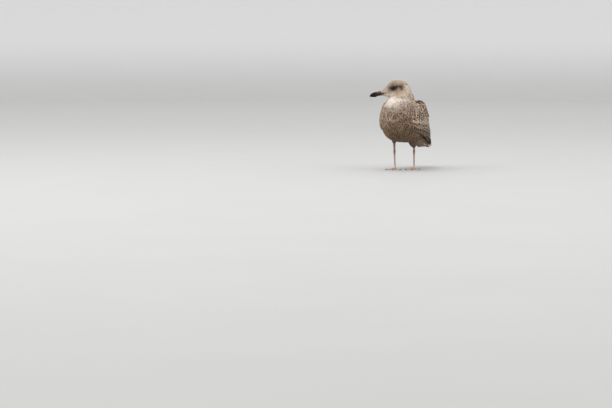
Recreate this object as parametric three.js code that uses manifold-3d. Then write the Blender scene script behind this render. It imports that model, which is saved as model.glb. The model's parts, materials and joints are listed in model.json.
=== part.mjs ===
// A young herring gull standing at rest on both feet, with its head turned over its right shoulder.
// Millimetres, +Z up. The body faces -Y and the bird's own left side is +X. The ground is z = 0.
import * as THREE from "three";
import { mergeVertices } from "three/addons/utils/BufferGeometryUtils.js";
import Module from "manifold-3d";

const wasm = await Module();
wasm.setup();

// ---------------------------------------------------------------- driving dimensions
const GAP = 0.3; // clearance left between neighbouring pieces
const HEAD_YAW = 70; // degrees that the head is turned to the bird's right
const EYE = { x: -10, y: -63, z: 293 }; // the point midway between the eyes
const EYE_RADIUS = 7;
const EYE_OUT = 16; // eyeball centre, out from the head's mid-plane
const LEG_OUT = 31; // each leg, out from the body's mid-plane
const STRIDE = 14; // the left foot is this far back and the right foot this far forward of the mean
const ANKLE_Y = 32; // mean place where the toes meet the leg
const HOCK_BACK = 7; // the backward-pointing joint above the foot, behind the ankle
const HOCK_HEIGHT = 64;
const HOCK_LEAN = { left: 2.5, right: 5.5 }; // how far each hock leans to the bird's right of its ankle
const SHIN_SLANT = 0.1; // slope of the leg above the hock towards the bird's left
const THIGH_END = { left: 17, right: 33 }; // the end of the feathered thigh, above the hock
const FOOT_TURN = 12; // degrees that both feet point to the bird's left
const TOE_RADIUS = 2.7;
const TOE_RISE = 2.6; // how much higher a toe's middle line lies at its root
const WEB_THICKNESS = 1.4;

// ---------------------------------------------------------------- rings and lofts
// A station is [x, y, z, yaw, pitch, half, up, down, power, roll]: a ring round x, y, z that faces the tail.
// yaw turns its heading to the bird's right, pitch tips its tailward side down, roll leans it: all in degrees.
// half is its half width, up and down its reach to back and belly, and power its squareness.
const radians = THREE.MathUtils.degToRad;
const degrees = THREE.MathUtils.radToDeg;
const vector = (...values) => new THREE.Vector3(...values);

// Catmull-Rom interpolation of a list of equal-length rows at a real index u.
function between(rows, u) {
  const last = rows.length - 1;
  const i = Math.min(Math.max(Math.floor(u), 0), last - 1);
  const t = u - i;
  const [a, b, c, d] = [i - 1, i, i + 1, i + 2].map((k) => rows[Math.min(Math.max(k, 0), last)]);
  return b.map((_, k) => {
    const bend = 2 * a[k] - 5 * b[k] + 4 * c[k] - d[k];
    return b[k] + 0.5 * t * (c[k] - a[k] + t * (bend + t * (3 * (b[k] - c[k]) + d[k] - a[k])));
  });
}

// The axes of a ring: towards the tail, the back and the bird's left.
function axesOf(yaw, pitch, roll = 0) {
  const level = vector(Math.sin(radians(yaw)), Math.cos(radians(yaw)), 0);
  const left = vector(Math.cos(radians(yaw)), -Math.sin(radians(yaw)), 0);
  const up = vector(0, 0, Math.cos(radians(pitch))).addScaledVector(level, Math.sin(radians(pitch)));
  const along = level.multiplyScalar(Math.cos(radians(pitch))).setZ(-Math.sin(radians(pitch)));
  return { along, up: up.applyAxisAngle(along, -radians(roll)), left: left.applyAxisAngle(along, -radians(roll)) };
}

const powered = (value, exponent) => Math.sign(value) * Math.abs(value) ** exponent;

// One ring of a loft, as points counted from the back round by the bird's left.
function ringOf([x, y, z, yaw, pitch, half, up, down, power = 2, roll = 0], sides, grow) {
  const axes = axesOf(yaw, pitch, roll);
  return Array.from({ length: sides }, (_, k) => {
    const angle = (2 * Math.PI * k) / sides;
    const side = (half + grow) * powered(Math.sin(angle), 2 / power);
    const rise = powered(Math.cos(angle), 2 / power);
    const reach = rise * ((rise > 0 ? up : down) + grow);
    return vector(x, y, z).addScaledVector(axes.left, side).addScaledVector(axes.up, reach);
  });
}

// A closed skin over rings of equal length, with a fan at each end.
function skinOf(rings) {
  const sides = rings[0].length;
  const middle = (ring) => ring.reduce((sum, p) => sum.add(p), vector()).divideScalar(sides);
  const points = [...rings.flat(), middle(rings[0]), middle(rings.at(-1))];
  const first = points.length - 2;
  const end = first - sides;
  const faces = [];
  for (let k = 0; k < sides; k++) {
    const next = (k + 1) % sides;
    for (let i = 0; i < end; i += sides) {
      faces.push(i + k, i + next, i + sides + next, i + k, i + sides + next, i + sides + k);
    }
    faces.push(first, next, k, first + 1, end + k, end + next);
  }
  return new THREE.BufferGeometry().setFromPoints(points).setIndex(faces);
}

// The skin through all the stations of a list, with so many steps from each one to the next.
function loftOf(rows, { steps = 3, sides = 16, grow = 0 } = {}) {
  const count = Math.round((rows.length - 1) * steps);
  return skinOf(Array.from({ length: count + 1 }, (_, i) => ringOf(between(rows, i / steps), sides, grow)));
}

// ---------------------------------------------------------------- solids
// A closed geometry as a solid that faces outwards.
function solidOf(geometry) {
  const bare = new THREE.BufferGeometry().setAttribute("position", geometry.getAttribute("position"));
  bare.setIndex(geometry.index);
  const merged = mergeVertices(bare, 1e-4);
  const corners = merged.attributes.position.array;
  const made = meshSolid(corners, Uint32Array.from(merged.index.array));
  return made.volume() > 0 ? made : meshSolid(corners, Uint32Array.from(merged.index.array).reverse());
}

function meshSolid(vertProperties, triVerts) {
  return new wasm.Manifold(new wasm.Mesh({ numProp: 3, vertProperties, triVerts }));
}

const loft = (rows, options) => solidOf(loftOf(rows, options));

// The body with the most faces, for cuts that leave crumbs behind.
function mainBody(solid) {
  const { vertProperties, triVerts } = solid.getMesh();
  const parent = Array.from({ length: vertProperties.length / 3 }, (_, i) => i);
  const rootOf = (i) => {
    while (parent[i] !== i) i = parent[i] = parent[parent[i]];
    return i;
  };
  for (let i = 0; i < triVerts.length; i += 3) {
    parent[rootOf(triVerts[i + 1])] = rootOf(triVerts[i]);
    parent[rootOf(triVerts[i + 2])] = rootOf(triVerts[i]);
  }
  const bodies = new Map();
  for (let i = 0; i < triVerts.length; i += 3) {
    const key = rootOf(triVerts[i]);
    bodies.set(key, [...(bodies.get(key) ?? []), triVerts[i], triVerts[i + 1], triVerts[i + 2]]);
  }
  const kept = [...bodies.values()].sort((a, b) => b.length - a.length)[0];
  const geometry = new THREE.BufferGeometry().setIndex(kept);
  geometry.setAttribute("position", new THREE.BufferAttribute(Float32Array.from(vertProperties), 3));
  return solidOf(geometry.toNonIndexed().setIndex(kept.map((_, i) => i)));
}

// All of space tailwards of station u of a list, as a large box that starts a little beyond it.
function beyond(rows, u, offset = 0) {
  const [x, y, z, yaw, pitch] = between(rows, u);
  const { along, up, left } = axesOf(yaw, pitch);
  const size = 1200;
  const box = new THREE.BoxGeometry(size, size, size).translate(0, 0, size / 2 + offset);
  return solidOf(box.applyMatrix4(new THREE.Matrix4().makeBasis(up, left, along).setPosition(x, y, z)));
}

const bird = new THREE.Group();
bird.name = "herring_gull";

// Adds one named piece from a solid.
function add(name, solid, colour, roughness) {
  const { vertProperties, triVerts } = solid.getMesh();
  const geometry = new THREE.BufferGeometry();
  geometry.setAttribute("position", new THREE.BufferAttribute(new Float32Array(vertProperties), 3));
  geometry.setIndex(new THREE.BufferAttribute(new Uint32Array(triVerts), 1));
  geometry.computeVertexNormals();
  const material = new THREE.MeshStandardMaterial({ color: colour, roughness, metalness: 0 });
  const made = new THREE.Mesh(geometry, material);
  made.name = name;
  bird.add(made);
}

// ---------------------------------------------------------------- head frame
const headAxes = axesOf(HEAD_YAW, 0);

// A point s forward of the eyes, out to the bird's left of the head's mid-plane and z above the eyes.
function headPoint(s, out, z) {
  return vector(EYE.x, EYE.y, EYE.z + z).addScaledVector(headAxes.along, -s).addScaledVector(headAxes.left, out);
}

// A station from [s, z, pitch, half, up, down], in the head's frame.
function headRow([s, z, pitch, half, up, down]) {
  return [...headPoint(s, 0, z).toArray(), HEAD_YAW, pitch, half, up, down, 2];
}

// ---------------------------------------------------------------- head, neck and trunk
const BODY_ROWS = [
  ...[
    [42, -17, -5, 7.2, 8.6, 7.6],
    [33, -15, -5, 11.5, 12.2, 11.5],
    [22, -11.5, -2, 15.5, 20, 18],
    [10.8, -6, 7.4, 19, 31.1, 24.7],
    [-1, -3, 29, 23, 35.2, 34.3],
    [-12.9, -5, 43, 28, 39.7, 45.2],
    [-22.3, -15, 55.6, 35, 43.3, 54.9],
  ].map(headRow),
  [15, -55, 262, 54, 66, 42, 44, 66, 2],
  [15, -57, 247, 34, 72, 48.5, 53, 70, 2],
  [8, -56, 231, 14, 68, 57.5, 62, 64, 2.1],
  [3, -48, 214, 3, 56, 60, 68, 70, 2.3],
  [1, -30, 196, 0, 42, 62, 75, 80, 2.6],
  [0, -4, 182, 0, 30, 64.5, 77, 82, 2.8],
  [0, 30, 171, 0, 25, 65, 73, 77, 2.8],
  [0, 66, 158, 0, 24, 61, 62, 66, 2.6],
  [0, 102, 144, 0, 23, 52, 47, 50, 2.3],
  [0, 134, 131, 0, 23, 41, 34, 36, 2.1],
  [0, 160, 120, 0, 23, 30, 21, 24, 2],
  [0, 178, 113, 0, 23, 21, 9, 12, 2],
];
const NECK_FROM = 6; // the station where the head ends
const TRUNK_FROM = 9; // and the one where the neck does
const SIDES = { left: 1, right: -1 };
const BODY_LOFT = { steps: 2, sides: 24 };
const ball = (side, radius) =>
  solidOf(new THREE.SphereGeometry(radius, 12, 7).translate(...headPoint(0, side * EYE_OUT, 0).toArray()));

// A flat fan of folded tail feathers that widens to its tip.
const TAIL_ROWS = [
  [0, 138, 127, 0, 26, 17, 3.5, 4, 2.4],
  [0, 174, 109, 0, 27, 23, 4.5, 4.5, 2.6],
  [0, 208, 91, 0, 27, 24.5, 4.2, 3.8, 3],
  [0, 234, 77.5, 0, 27, 22, 3.2, 2.8, 3.2],
  [0, 246, 71.5, 0, 27, 15, 1.8, 1.8, 2.4],
];
const TAIL_LOFT = { steps: 2, sides: 14 };

const body = loft(BODY_ROWS, BODY_LOFT);
const bodyRoom = loft(BODY_ROWS, { ...BODY_LOFT, grow: GAP });
const tailRoom = loft(TAIL_ROWS, { ...TAIL_LOFT, grow: GAP });
const headRows = BODY_ROWS.slice(0, NECK_FROM + 2);
let head = mainBody(loft(headRows, BODY_LOFT).subtract(beyond(BODY_ROWS, NECK_FROM, -GAP / 2)));
const headWide = loft(headRows, { ...BODY_LOFT, grow: GAP });
const headRoom = mainBody(headWide.subtract(beyond(BODY_ROWS, NECK_FROM, GAP / 2)));
for (const [name, side] of Object.entries(SIDES)) {
  head = head.subtract(ball(side, EYE_RADIUS + GAP));
  add(`eye_${name}`, ball(side, EYE_RADIUS), 0x17110d, 0.1);
}
const torso = body.subtract(headRoom);
add("head", head, 0xb5a590, 0.9);
add("neck", mainBody(torso.subtract(beyond(BODY_ROWS, TRUNK_FROM, -GAP / 2))), 0xc2b5a2, 0.9);
add("trunk", torso.intersect(beyond(BODY_ROWS, TRUNK_FROM, GAP / 2)).subtract(tailRoom), 0x8d7c68, 0.9);
add("tail", loft(TAIL_ROWS, TAIL_LOFT), 0x4a3f33, 0.8);

// ---------------------------------------------------------------- wings
// Folded wings of the left side. The roll leans the upper edge in over the back.
const WING_ROWS = [
  [42, -72, 197, 6, 22, 4, 12, 12, 2, 0],
  [49, -54, 195, 5, 24, 13, 38, 34, 2.1, 2],
  [56.5, -20, 191, 1, 24, 17.5, 62, 48, 2.6, 1],
  [61, 18, 182, -4, 24, 18, 71, 50, 2.7, 2],
  [62, 58, 166, -9, 24, 18, 70, 46, 2.6, 6],
  [54.5, 98, 147, -13, 24, 17.5, 57, 39, 2.4, 13],
  [43, 138, 129, -14, 23, 14.5, 39, 31, 2.2, 21],
  [33, 176, 113.5, -12, 22, 11.5, 26, 21, 2.1, 26],
  [25.5, 212, 100, -9, 20, 8.5, 16, 13.5, 2, 27],
  [19.5, 242, 89, -8, 18, 5.5, 10, 9, 2, 25],
  [15.5, 268, 80.5, -8, 18, 2, 4, 4, 2, 24],
];
const TIP_FROM = 6.2; // the station where the folded primaries take over
const WING_LOFT = { steps: 2, sides: 16 };

const mirrored = ([x, y, z, yaw, pitch, half, up, down, power, roll]) => {
  return [-x, y, z, -yaw, pitch, half, up, down, power, -roll];
};
const wingRows = { left: WING_ROWS, right: WING_ROWS.map(mirrored) };

// All of space to one side of the mid-plane, short of it by half a gap.
function sideSpace(side) {
  const size = 1200;
  return solidOf(new THREE.BoxGeometry(size, size, size).translate((side * (size + GAP)) / 2, 0, 0));
}

for (const [name, side] of Object.entries(SIDES)) {
  const rows = wingRows[name];
  const whole = mainBody(
    loft(rows, WING_LOFT).subtract(bodyRoom).subtract(tailRoom).intersect(sideSpace(side)),
  );
  add(`wing_${name}`, whole.subtract(beyond(rows, TIP_FROM, -GAP / 2)), 0x77644e, 0.85);
  add(`primaries_${name}`, whole.intersect(beyond(rows, TIP_FROM, GAP / 2)), 0x2b2520, 0.75);
}

// ---------------------------------------------------------------- bill
const BILL_UPPER = [
  [42.8, -20.6, -5, 7, 11.8, 0.4],
  [50, -21.3, -7, 5.6, 11.3, 0.4],
  [58, -22.3, -8, 4.7, 10.2, 0.4],
  [66, -23.5, -9, 4.2, 9.4, 0.4],
  [72.5, -24.7, -14, 3.3, 7.8, 0.6],
  [77.8, -26.6, -28, 2.4, 5.2, 0.8],
  [80.6, -28.8, -46, 1.5, 2.8, 0.9],
  [81.8, -30.8, -62, 0.6, 0.9, 0.6],
].map(headRow);
const BILL_LOWER = [
  [42.8, -21.6, -5, 6.6, 0.2, 3.8],
  [52, -22.6, -7, 5, 0.2, 4.3],
  [60, -23.7, -8, 4.3, 0.2, 6],
  [64.5, -24.5, -9, 4, 0.2, 6.8],
  [70, -25.7, -12, 3.3, 0.2, 5.6],
  [75, -27.5, -16, 2.2, 0.2, 3.6],
  [78.4, -29.4, -22, 1, 0.2, 1.6],
].map(headRow);
const BILL_LOFT = { steps: 2, sides: 12 };
add("bill_upper", loft(BILL_UPPER, BILL_LOFT), 0x2d2725, 0.4);
add("bill_lower", loft(BILL_LOWER, BILL_LOFT), 0x3a2f2c, 0.4);

// ---------------------------------------------------------------- legs
// A round limb through points of [x, y, z, half width, half depth], as stations that face along it.
function limbRows(points) {
  return points.map(([x, y, z, across, deep], i) => {
    const [a, b] = [points[Math.max(i - 1, 0)], points[Math.min(i + 1, points.length - 1)]];
    return [x, y, z, 0, degrees(Math.atan2(a[2] - b[2], b[1] - a[1])), across, deep, deep, 2];
  });
}

const limb = (points, steps, sides, grow = 0) => loft(limbRows(points), { steps, sides, grow });

const TOES = [
  { toe: "inner", turn: -36, length: 40 },
  { toe: "middle", turn: 0, length: 50 },
  { toe: "outer", turn: 34, length: 46 },
];
const CLAW_LENGTH = 7.5;
const CLAW_RADIUS = 1.7;
const HIND_TOE = { length: 9, lift: 4.5 };

// A tapered toe that runs forward from the ankle, with a swelling at each joint.
function toeOf(length) {
  const joints = 5;
  const points = Array.from({ length: joints + 1 }, (_, i) => {
    const along = i / joints;
    const swell = 1 + 0.1 * Math.cos(along * 6 * Math.PI);
    const radius = TOE_RADIUS * (1 - 0.34 * along) * swell * (i === joints ? 0.6 : 1);
    const rise = TOE_RISE * (1 - along) ** 2;
    return [0, 4 - (length + 4) * along, 1.6 - 0.4 * along + rise, radius, radius + rise * 0.8];
  });
  return loftOf(limbRows(points), { steps: 1, sides: 6 });
}

// A claw that curves down from the end of a toe.
function clawOf() {
  const points = [0, 0.4, 0.75, 1].map((along) => {
    const radius = CLAW_RADIUS * (1 - along * 0.86);
    return [0, -CLAW_LENGTH * along, 2.3 + 0.5 * along - 2.4 * along ** 2, radius, radius];
  });
  return loftOf(limbRows(points), { steps: 1, sides: 6 });
}

// The web: a thin plate from toe to toe with a hollowed front edge.
function webOf(side) {
  const outline = [new THREE.Vector2(0, 3)];
  const tips = TOES.map(({ turn, length }) => {
    const angle = radians(turn * side);
    return new THREE.Vector2(Math.sin(angle), -Math.cos(angle)).multiplyScalar(length * 0.93);
  });
  for (let i = 0; i + 1 < tips.length; i++) {
    const hollow = tips[i].clone().add(tips[i + 1]).multiplyScalar(0.45);
    outline.push(...new THREE.QuadraticBezierCurve(tips[i], hollow, tips[i + 1]).getPoints(4));
  }
  const shape = new THREE.Shape(outline);
  return new THREE.ExtrudeGeometry(shape, { depth: WEB_THICKNESS + 1, bevelEnabled: false }).translate(0, 0, -1);
}

const aboveGround = solidOf(new THREE.BoxGeometry(1200, 1200, 400).translate(0, 0, 200));
for (const [name, side] of Object.entries(SIDES)) {
  const ankle = { x: side * LEG_OUT, y: ANKLE_Y + side * STRIDE };
  const hock = { y: ankle.y + HOCK_BACK, z: HOCK_HEIGHT };
  const hip = ANKLE_Y + HOCK_BACK + side * STRIDE * 0.4;
  const legX = (z) => {
    const leaned = ankle.x - HOCK_LEAN[name] * Math.min(z / hock.z, 1);
    return leaned + SHIN_SLANT * Math.max(z - hock.z, 0);
  };
  const joint = (y, z, across, deep) => [legX(z), y, z, across, deep];
  const tarsus = [
    joint(ankle.y + 0.5, 5, 4, 4.4),
    joint(ankle.y + 1.5, 12, 3.2, 3.7),
    joint(ankle.y + 3, 26, 2.7, 3.3),
    joint(ankle.y + 4.5, 42, 2.8, 3.4),
    joint(hock.y - 0.6, hock.z - 5, 3.6, 4.3),
    joint(hock.y, hock.z, 4.3, 5),
    joint(hock.y - 0.6, hock.z + 5, 3.7, 4.2),
  ];
  const tibia = [
    joint(hock.y - 0.9, hock.z + 5 + GAP, 3.7, 4.1),
    joint(hock.y - 4, hock.z + 13, 3.6, 4.1),
    joint(hock.y - 8, hock.z + 25, 4.2, 5),
    joint(hock.y - 14, hock.z + 44, 5, 6),
  ];
  const cuff = THIGH_END[name];
  const thigh = [
    joint(hock.y - 2 - cuff * 0.22, hock.z + cuff, 5.4, 6.4),
    joint(hock.y - 4 - cuff * 0.22, hock.z + cuff + 5, 8.5, 10.5),
    [ankle.x + side * 1, (hock.y + hip) / 2 - 10, hock.z + cuff + 14, 13, 18],
    [ankle.x + side * 2, hip - 16, hock.z + cuff + 26, 17, 25],
    [ankle.x + side * 2, hip - 20, hock.z + cuff + 38, 18, 27],
  ];
  const tibiaRoom = limb(tibia, 1, 10, GAP);
  const tarsusRoom = limb(tarsus, 1, 10, GAP);
  const wingRoom = loft(wingRows[name], { ...WING_LOFT, grow: GAP });
  const thighShown = limb(thigh, 2, 12).subtract(bodyRoom).subtract(tibiaRoom).subtract(wingRoom);
  add(`thigh_${name}`, mainBody(thighShown), 0x84745f, 0.9);
  add(`tibia_${name}`, mainBody(limb(tibia, 1, 10).subtract(bodyRoom).subtract(tarsusRoom)), 0x9c8074, 0.6);
  add(`tarsus_${name}`, limb(tarsus, 1, 10), 0xb08f83, 0.6);

  const placed = (geometry) => solidOf(geometry.rotateZ(radians(FOOT_TURN)).translate(ankle.x, ankle.y, 0));
  const heel = [
    [0, 1, 2, 3.4, 4],
    [0, 0.6, 5, 3.9, 4.4],
    [0, 0.9, 8, 3.6, 4],
  ];
  let foot = placed(webOf(side));
  foot = foot.add(placed(loftOf(limbRows(heel), { steps: 1, sides: 8 })));
  foot = foot.add(placed(toeOf(HIND_TOE.length).rotateZ(Math.PI).translate(-side * 1.5, 2, HIND_TOE.lift - 4)));
  for (const { toe, turn, length } of TOES) {
    foot = foot.add(placed(toeOf(length).rotateZ(radians(turn * side))));
    const claw = clawOf().translate(0, -length - GAP, 0).rotateZ(radians(turn * side));
    add(`claw_${name}_${toe}`, placed(claw), 0x2a2422, 0.4);
  }
  add(`foot_${name}`, mainBody(foot.intersect(aboveGround).subtract(tarsusRoom)), 0xc9a79b, 0.6);
}

// The origin is the middle of the model's box, at ground level.
const box = new THREE.Box3().setFromObject(bird, true);
bird.position.set(-(box.min.x + box.max.x) / 2, -(box.min.y + box.max.y) / 2, -box.min.z);

export default bird;
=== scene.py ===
# %% [markdown]
# # A young herring gull, life size
# The bird stands on both feet, with its neck drawn in and its head turned over its right shoulder.
# A real gull is a body of smooth skin, wrapped in a few thousand feathers that overlap like roof tiles.
# We could paint feathers on a smooth body, but then the outline stays as clean as an egg. So we build
# the bird as nature does: one skin, then feathers of solid mesh laid over it from tail to bill.
# The lesson works in millimetres in the bird's own frame and turns to metres only in the meshes.

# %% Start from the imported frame
import json
import bpy
import numpy as np
from mathutils import Matrix, Vector

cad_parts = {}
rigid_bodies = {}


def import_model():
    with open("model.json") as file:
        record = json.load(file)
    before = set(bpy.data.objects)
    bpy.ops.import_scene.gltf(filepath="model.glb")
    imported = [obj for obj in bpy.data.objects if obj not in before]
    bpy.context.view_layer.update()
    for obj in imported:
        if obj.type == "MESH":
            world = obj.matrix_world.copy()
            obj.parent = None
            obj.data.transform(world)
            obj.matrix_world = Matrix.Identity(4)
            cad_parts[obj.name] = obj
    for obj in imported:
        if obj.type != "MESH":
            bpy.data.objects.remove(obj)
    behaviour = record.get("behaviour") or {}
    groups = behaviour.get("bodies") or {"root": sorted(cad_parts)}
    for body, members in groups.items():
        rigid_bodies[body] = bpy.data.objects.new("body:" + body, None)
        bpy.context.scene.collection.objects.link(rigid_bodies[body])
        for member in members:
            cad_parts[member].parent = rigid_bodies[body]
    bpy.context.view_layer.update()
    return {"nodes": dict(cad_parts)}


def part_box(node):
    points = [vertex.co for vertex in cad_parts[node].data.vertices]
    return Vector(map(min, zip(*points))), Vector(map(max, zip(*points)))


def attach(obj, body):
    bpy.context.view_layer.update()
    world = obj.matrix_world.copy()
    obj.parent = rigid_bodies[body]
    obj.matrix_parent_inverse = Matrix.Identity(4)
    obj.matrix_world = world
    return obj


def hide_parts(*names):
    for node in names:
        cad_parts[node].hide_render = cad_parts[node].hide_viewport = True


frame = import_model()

print("nodes in the frame:", len(frame["nodes"]))

# %% [markdown]
# ## The same frame as the solids
# Every piece has to sit where the solids are. The eyes tell us where the bird's own frame lies, since
# the point midway between them is a named dimension of the bird.

# %% Named dimensions of the bird, in millimetres and degrees
EYE = np.array([-10.0, -63.0, 293.0])  # midway between the eyes
EYE_RADIUS = 7.0
EYE_OUT = 17.0  # eyeball centre, out from the head's mid-plane: far enough for the lids to show
HEAD_YAW = 70.0
LEG_OUT = 31.0
STRIDE = 14.0
ANKLE_Y = 32.0
HOCK_BACK = 7.0
HOCK_HEIGHT = 64.0
HOCK_LEAN = {"left": 2.5, "right": 5.5}  # how far each hock leans to the bird's right of its ankle
SHIN_SLANT = 0.1  # slope of the leg above the hock towards the bird's left
THIGH_END = {"left": 17.0, "right": 33.0}
FOOT_TURN = 12.0
SIDES = {"left": 1.0, "right": -1.0}
MM = 0.001

eye_boxes = [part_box("eye_left"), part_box("eye_right")]
eye_middle = np.mean([np.add(tuple(low), tuple(high)) / 2 for low, high in eye_boxes], axis=0) / MM
SHIFT = eye_middle - EYE
print("the bird's own origin, in mm:", np.round(SHIFT, 3))

# %% [markdown]
# ## Rings and lofts
# The body, wings, bill and legs are all lofts: a ring that changes its size, tilt and squareness as it
# travels down a path. Blender's own curves can carry a bevel along a path, but its section can't
# change from round to square. A formula can, and it gives the slope anywhere, which feathers need.
# A real eye lies in a shallow socket, so one more formula sinks skin and feathers round each eye.

# %% Smooth rows and rings
def unit(vectors):
    """Each vector divided by its own length."""
    return vectors / np.linalg.norm(vectors, axis=-1, keepdims=True)


def dot(a, b):
    """Sum of the products of the parts, one number for each pair of vectors."""
    return np.sum(a * b, axis=-1)


def ease(value, low, high):
    """0 below low, 1 above high, and 3t^2 - 2t^3 between."""
    t = np.clip((value - low) / (high - low), 0, 1)
    return t * t * (3 - 2 * t)


def between(rows, u):
    """Catmull-Rom: a cubic through the two rows beside u, with slopes from the rows beyond them."""
    rows = np.asarray(rows, float)
    last = len(rows) - 1
    i = np.clip(np.floor(u).astype(int), 0, last - 1)
    t = (u - i)[..., None]
    a, b, c, d = (rows[np.clip(i + k, 0, last)] for k in (-1, 0, 1, 2))
    return b + 0.5 * t * (c - a + t * (2 * a - 5 * b + 4 * c - d + t * (3 * (b - c) + d - a)))


def axes(yaw, pitch, roll):
    """Directions to tail, back and left of a ring: level heading, tipped by pitch, leaned by roll."""
    yaw, pitch, roll = (np.radians(angle)[..., None] for angle in (yaw, pitch, roll))
    level = np.sin(yaw) * [1, 0, 0] + np.cos(yaw) * [0, 1, 0]
    left = np.cos(yaw) * [1, 0, 0] - np.sin(yaw) * [0, 1, 0]
    up = np.cos(pitch) * [0, 0, 1] + np.sin(pitch) * level
    along = np.cos(pitch) * level - np.sin(pitch) * [0, 0, 1]
    return along, np.cos(roll) * up - np.sin(roll) * left, np.cos(roll) * left + np.sin(roll) * up


def loft(rows, u, v, grow=0.0):
    """Centre + left * half * sin(a) * r + up * reach * cos(a) * r, with a = v turns from the back.

    r = (|sin a|^p + |cos a|^p)^(-1/p) squares the ellipse off as the power p rises above 2."""
    u, v = np.broadcast_arrays(np.asarray(u, float), np.asarray(v, float))
    row = between(rows, u)
    half, rise, drop, power = row[..., 5], row[..., 6], row[..., 7], row[..., 8]
    _, up, left = axes(row[..., 3], row[..., 4], row[..., 9])
    sine, cosine = np.sin(2 * np.pi * v), np.cos(2 * np.pi * v)
    r = (np.abs(sine) ** power + np.abs(cosine) ** power) ** (-1 / power)
    side = (half + grow) * sine * r
    height = (np.where(cosine > 0, rise, drop) + grow) * cosine * r
    return row[..., :3] + left * side[..., None] + up * height[..., None]


# %% The head's own frame
HEAD_BACK, _, HEAD_LEFT = axes(HEAD_YAW, np.float64(0), np.float64(0))
SOCKET_PLACES = [-7, 0, 7]  # behind the eye, beside it and in front of it
SOCKET_DEPTHS = [3.4, 1.8, 0.3]
SOCKET_REACH = 3.0  # how far beyond the eye's rim the socket runs


def head_point(s, out, z):
    """The eye point + s forward + out to the bird's left of the head's mid-plane + z up."""
    s, out, z = (np.asarray(part, float)[..., None] for part in (s, out, z))
    return EYE - HEAD_BACK * s + HEAD_LEFT * out + z * np.array([0, 0, 1.0])


def head_frame(points):
    """How far each point lies forward of the eyes, out from the mid-plane, and above the eyes."""
    away = points - EYE
    return -away @ HEAD_BACK, away @ HEAD_LEFT, away[..., 2]


def press_sockets(points):
    """Sinks what lies round each eye by depth * exp(-(beyond / reach)^2), deepest behind the eye."""
    s, out, z = head_frame(points)
    beyond = np.maximum(np.hypot(s, z) - EYE_RADIUS, 0)
    depth = np.interp(s, SOCKET_PLACES, SOCKET_DEPTHS)
    depth = depth * np.exp(-((beyond / SOCKET_REACH) ** 2)) * ease(np.abs(out), 12, 17)
    return points - HEAD_LEFT * (np.sign(out) * depth)[..., None]


def head_row(s, z, pitch, half, rise, drop):
    """A station on the head's mid-plane, s forward of the eyes and z above them."""
    return [*head_point(s, 0, z), HEAD_YAW, pitch, half, rise, drop, 2, 0]


# %% Stations of head, neck and trunk: x, y, z, yaw, pitch, half, up, down, power, roll
BODY_ROWS = [
    head_row(42, -17, -5, 7.2, 8.6, 7.6),
    head_row(33, -15, -5, 11.5, 12.2, 11.5),
    head_row(22, -11.5, -2, 15.5, 20, 18),
    head_row(10.8, -6, 7.4, 19, 31.1, 24.7),
    head_row(-1, -3, 29, 23, 35.2, 34.3),
    head_row(-12.9, -5, 43, 28, 39.7, 45.2),
    head_row(-22.3, -15, 55.6, 35, 43.3, 54.9),
    [15, -55, 262, 54, 66, 42, 44, 66, 2, 0],
    [15, -57, 247, 34, 72, 48.5, 53, 70, 2, 0],
    [8, -56, 231, 14, 68, 57.5, 62, 64, 2.1, 0],
    [3, -48, 214, 3, 56, 60, 68, 70, 2.3, 0],
    [1, -30, 196, 0, 42, 62, 75, 80, 2.6, 0],
    [0, -4, 182, 0, 30, 64.5, 77, 82, 2.8, 0],
    [0, 30, 171, 0, 25, 65, 73, 77, 2.8, 0],
    [0, 66, 158, 0, 24, 61, 62, 66, 2.6, 0],
    [0, 102, 144, 0, 23, 52, 47, 50, 2.3, 0],
    [0, 134, 131, 0, 23, 41, 34, 36, 2.1, 0],
    [0, 160, 120, 0, 23, 30, 21, 24, 2, 0],
    [0, 178, 113, 0, 23, 21, 9, 12, 2, 0],
]
BODY_END = len(BODY_ROWS) - 1.0

# A folded wing of the left side. The roll leans its upper edge in over the back.
WING_ROWS = [
    [42, -72, 197, 6, 22, 4, 12, 12, 2, 0],
    [49, -54, 195, 5, 24, 13, 38, 34, 2.1, 2],
    [56.5, -20, 191, 1, 24, 17.5, 62, 48, 2.6, 1],
    [61, 18, 182, -4, 24, 18, 71, 50, 2.7, 2],
    [62, 58, 166, -9, 24, 18, 70, 46, 2.6, 6],
    [54.5, 98, 147, -13, 24, 17.5, 57, 39, 2.4, 13],
    [43, 138, 129, -14, 23, 14.5, 39, 31, 2.2, 21],
    [33, 176, 113.5, -12, 22, 11.5, 26, 21, 2.1, 26],
    [25.5, 212, 100, -9, 20, 8.5, 16, 13.5, 2, 27],
    [19.5, 242, 89, -8, 18, 5.5, 10, 9, 2, 25],
    [15.5, 268, 80.5, -8, 18, 2, 4, 4, 2, 24],
]
WING_END = len(WING_ROWS) - 1.0

# The cape is the surface that mantle and scapulars lie on: the back, widened to bridge to both wings.
CAPE_ROWS = [
    [8, -56, 231, 14, 68, 56.5, 62, 64, 2.1, 0],
    [3, -48, 214, 3, 56, 61, 68, 70, 2.4, 0],
    [1, -30, 196, 0, 42, 70, 76.5, 80, 2.9, 0],
    [0, -4, 182, 0, 30, 78, 79.5, 82, 3.3, 0],
    [0, 30, 171, 0, 25, 80.5, 76.5, 77, 3.4, 0],
    [0, 66, 158, 0, 24, 78.5, 67, 66, 3.3, 0],
    [0, 102, 144, 0, 23, 68, 52, 50, 2.9, 0],
    [0, 134, 131, 0, 23, 55, 38, 36, 2.5, 0],
    [0, 160, 120, 0, 23, 42, 25, 24, 2.2, 0],
]
print("body, wing and cape stations:", len(BODY_ROWS), len(WING_ROWS), len(CAPE_ROWS))


def body_surface(u, v):
    """The loft of head, neck and trunk, which is the true outline of the feathered bird."""
    return loft(BODY_ROWS, u, v)


def wing_surface(u, v):
    """The loft of the left folded wing."""
    return loft(WING_ROWS, u, v)


def cape_surface(u, v):
    """The loft under mantle and scapulars."""
    return loft(CAPE_ROWS, u, v)


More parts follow.
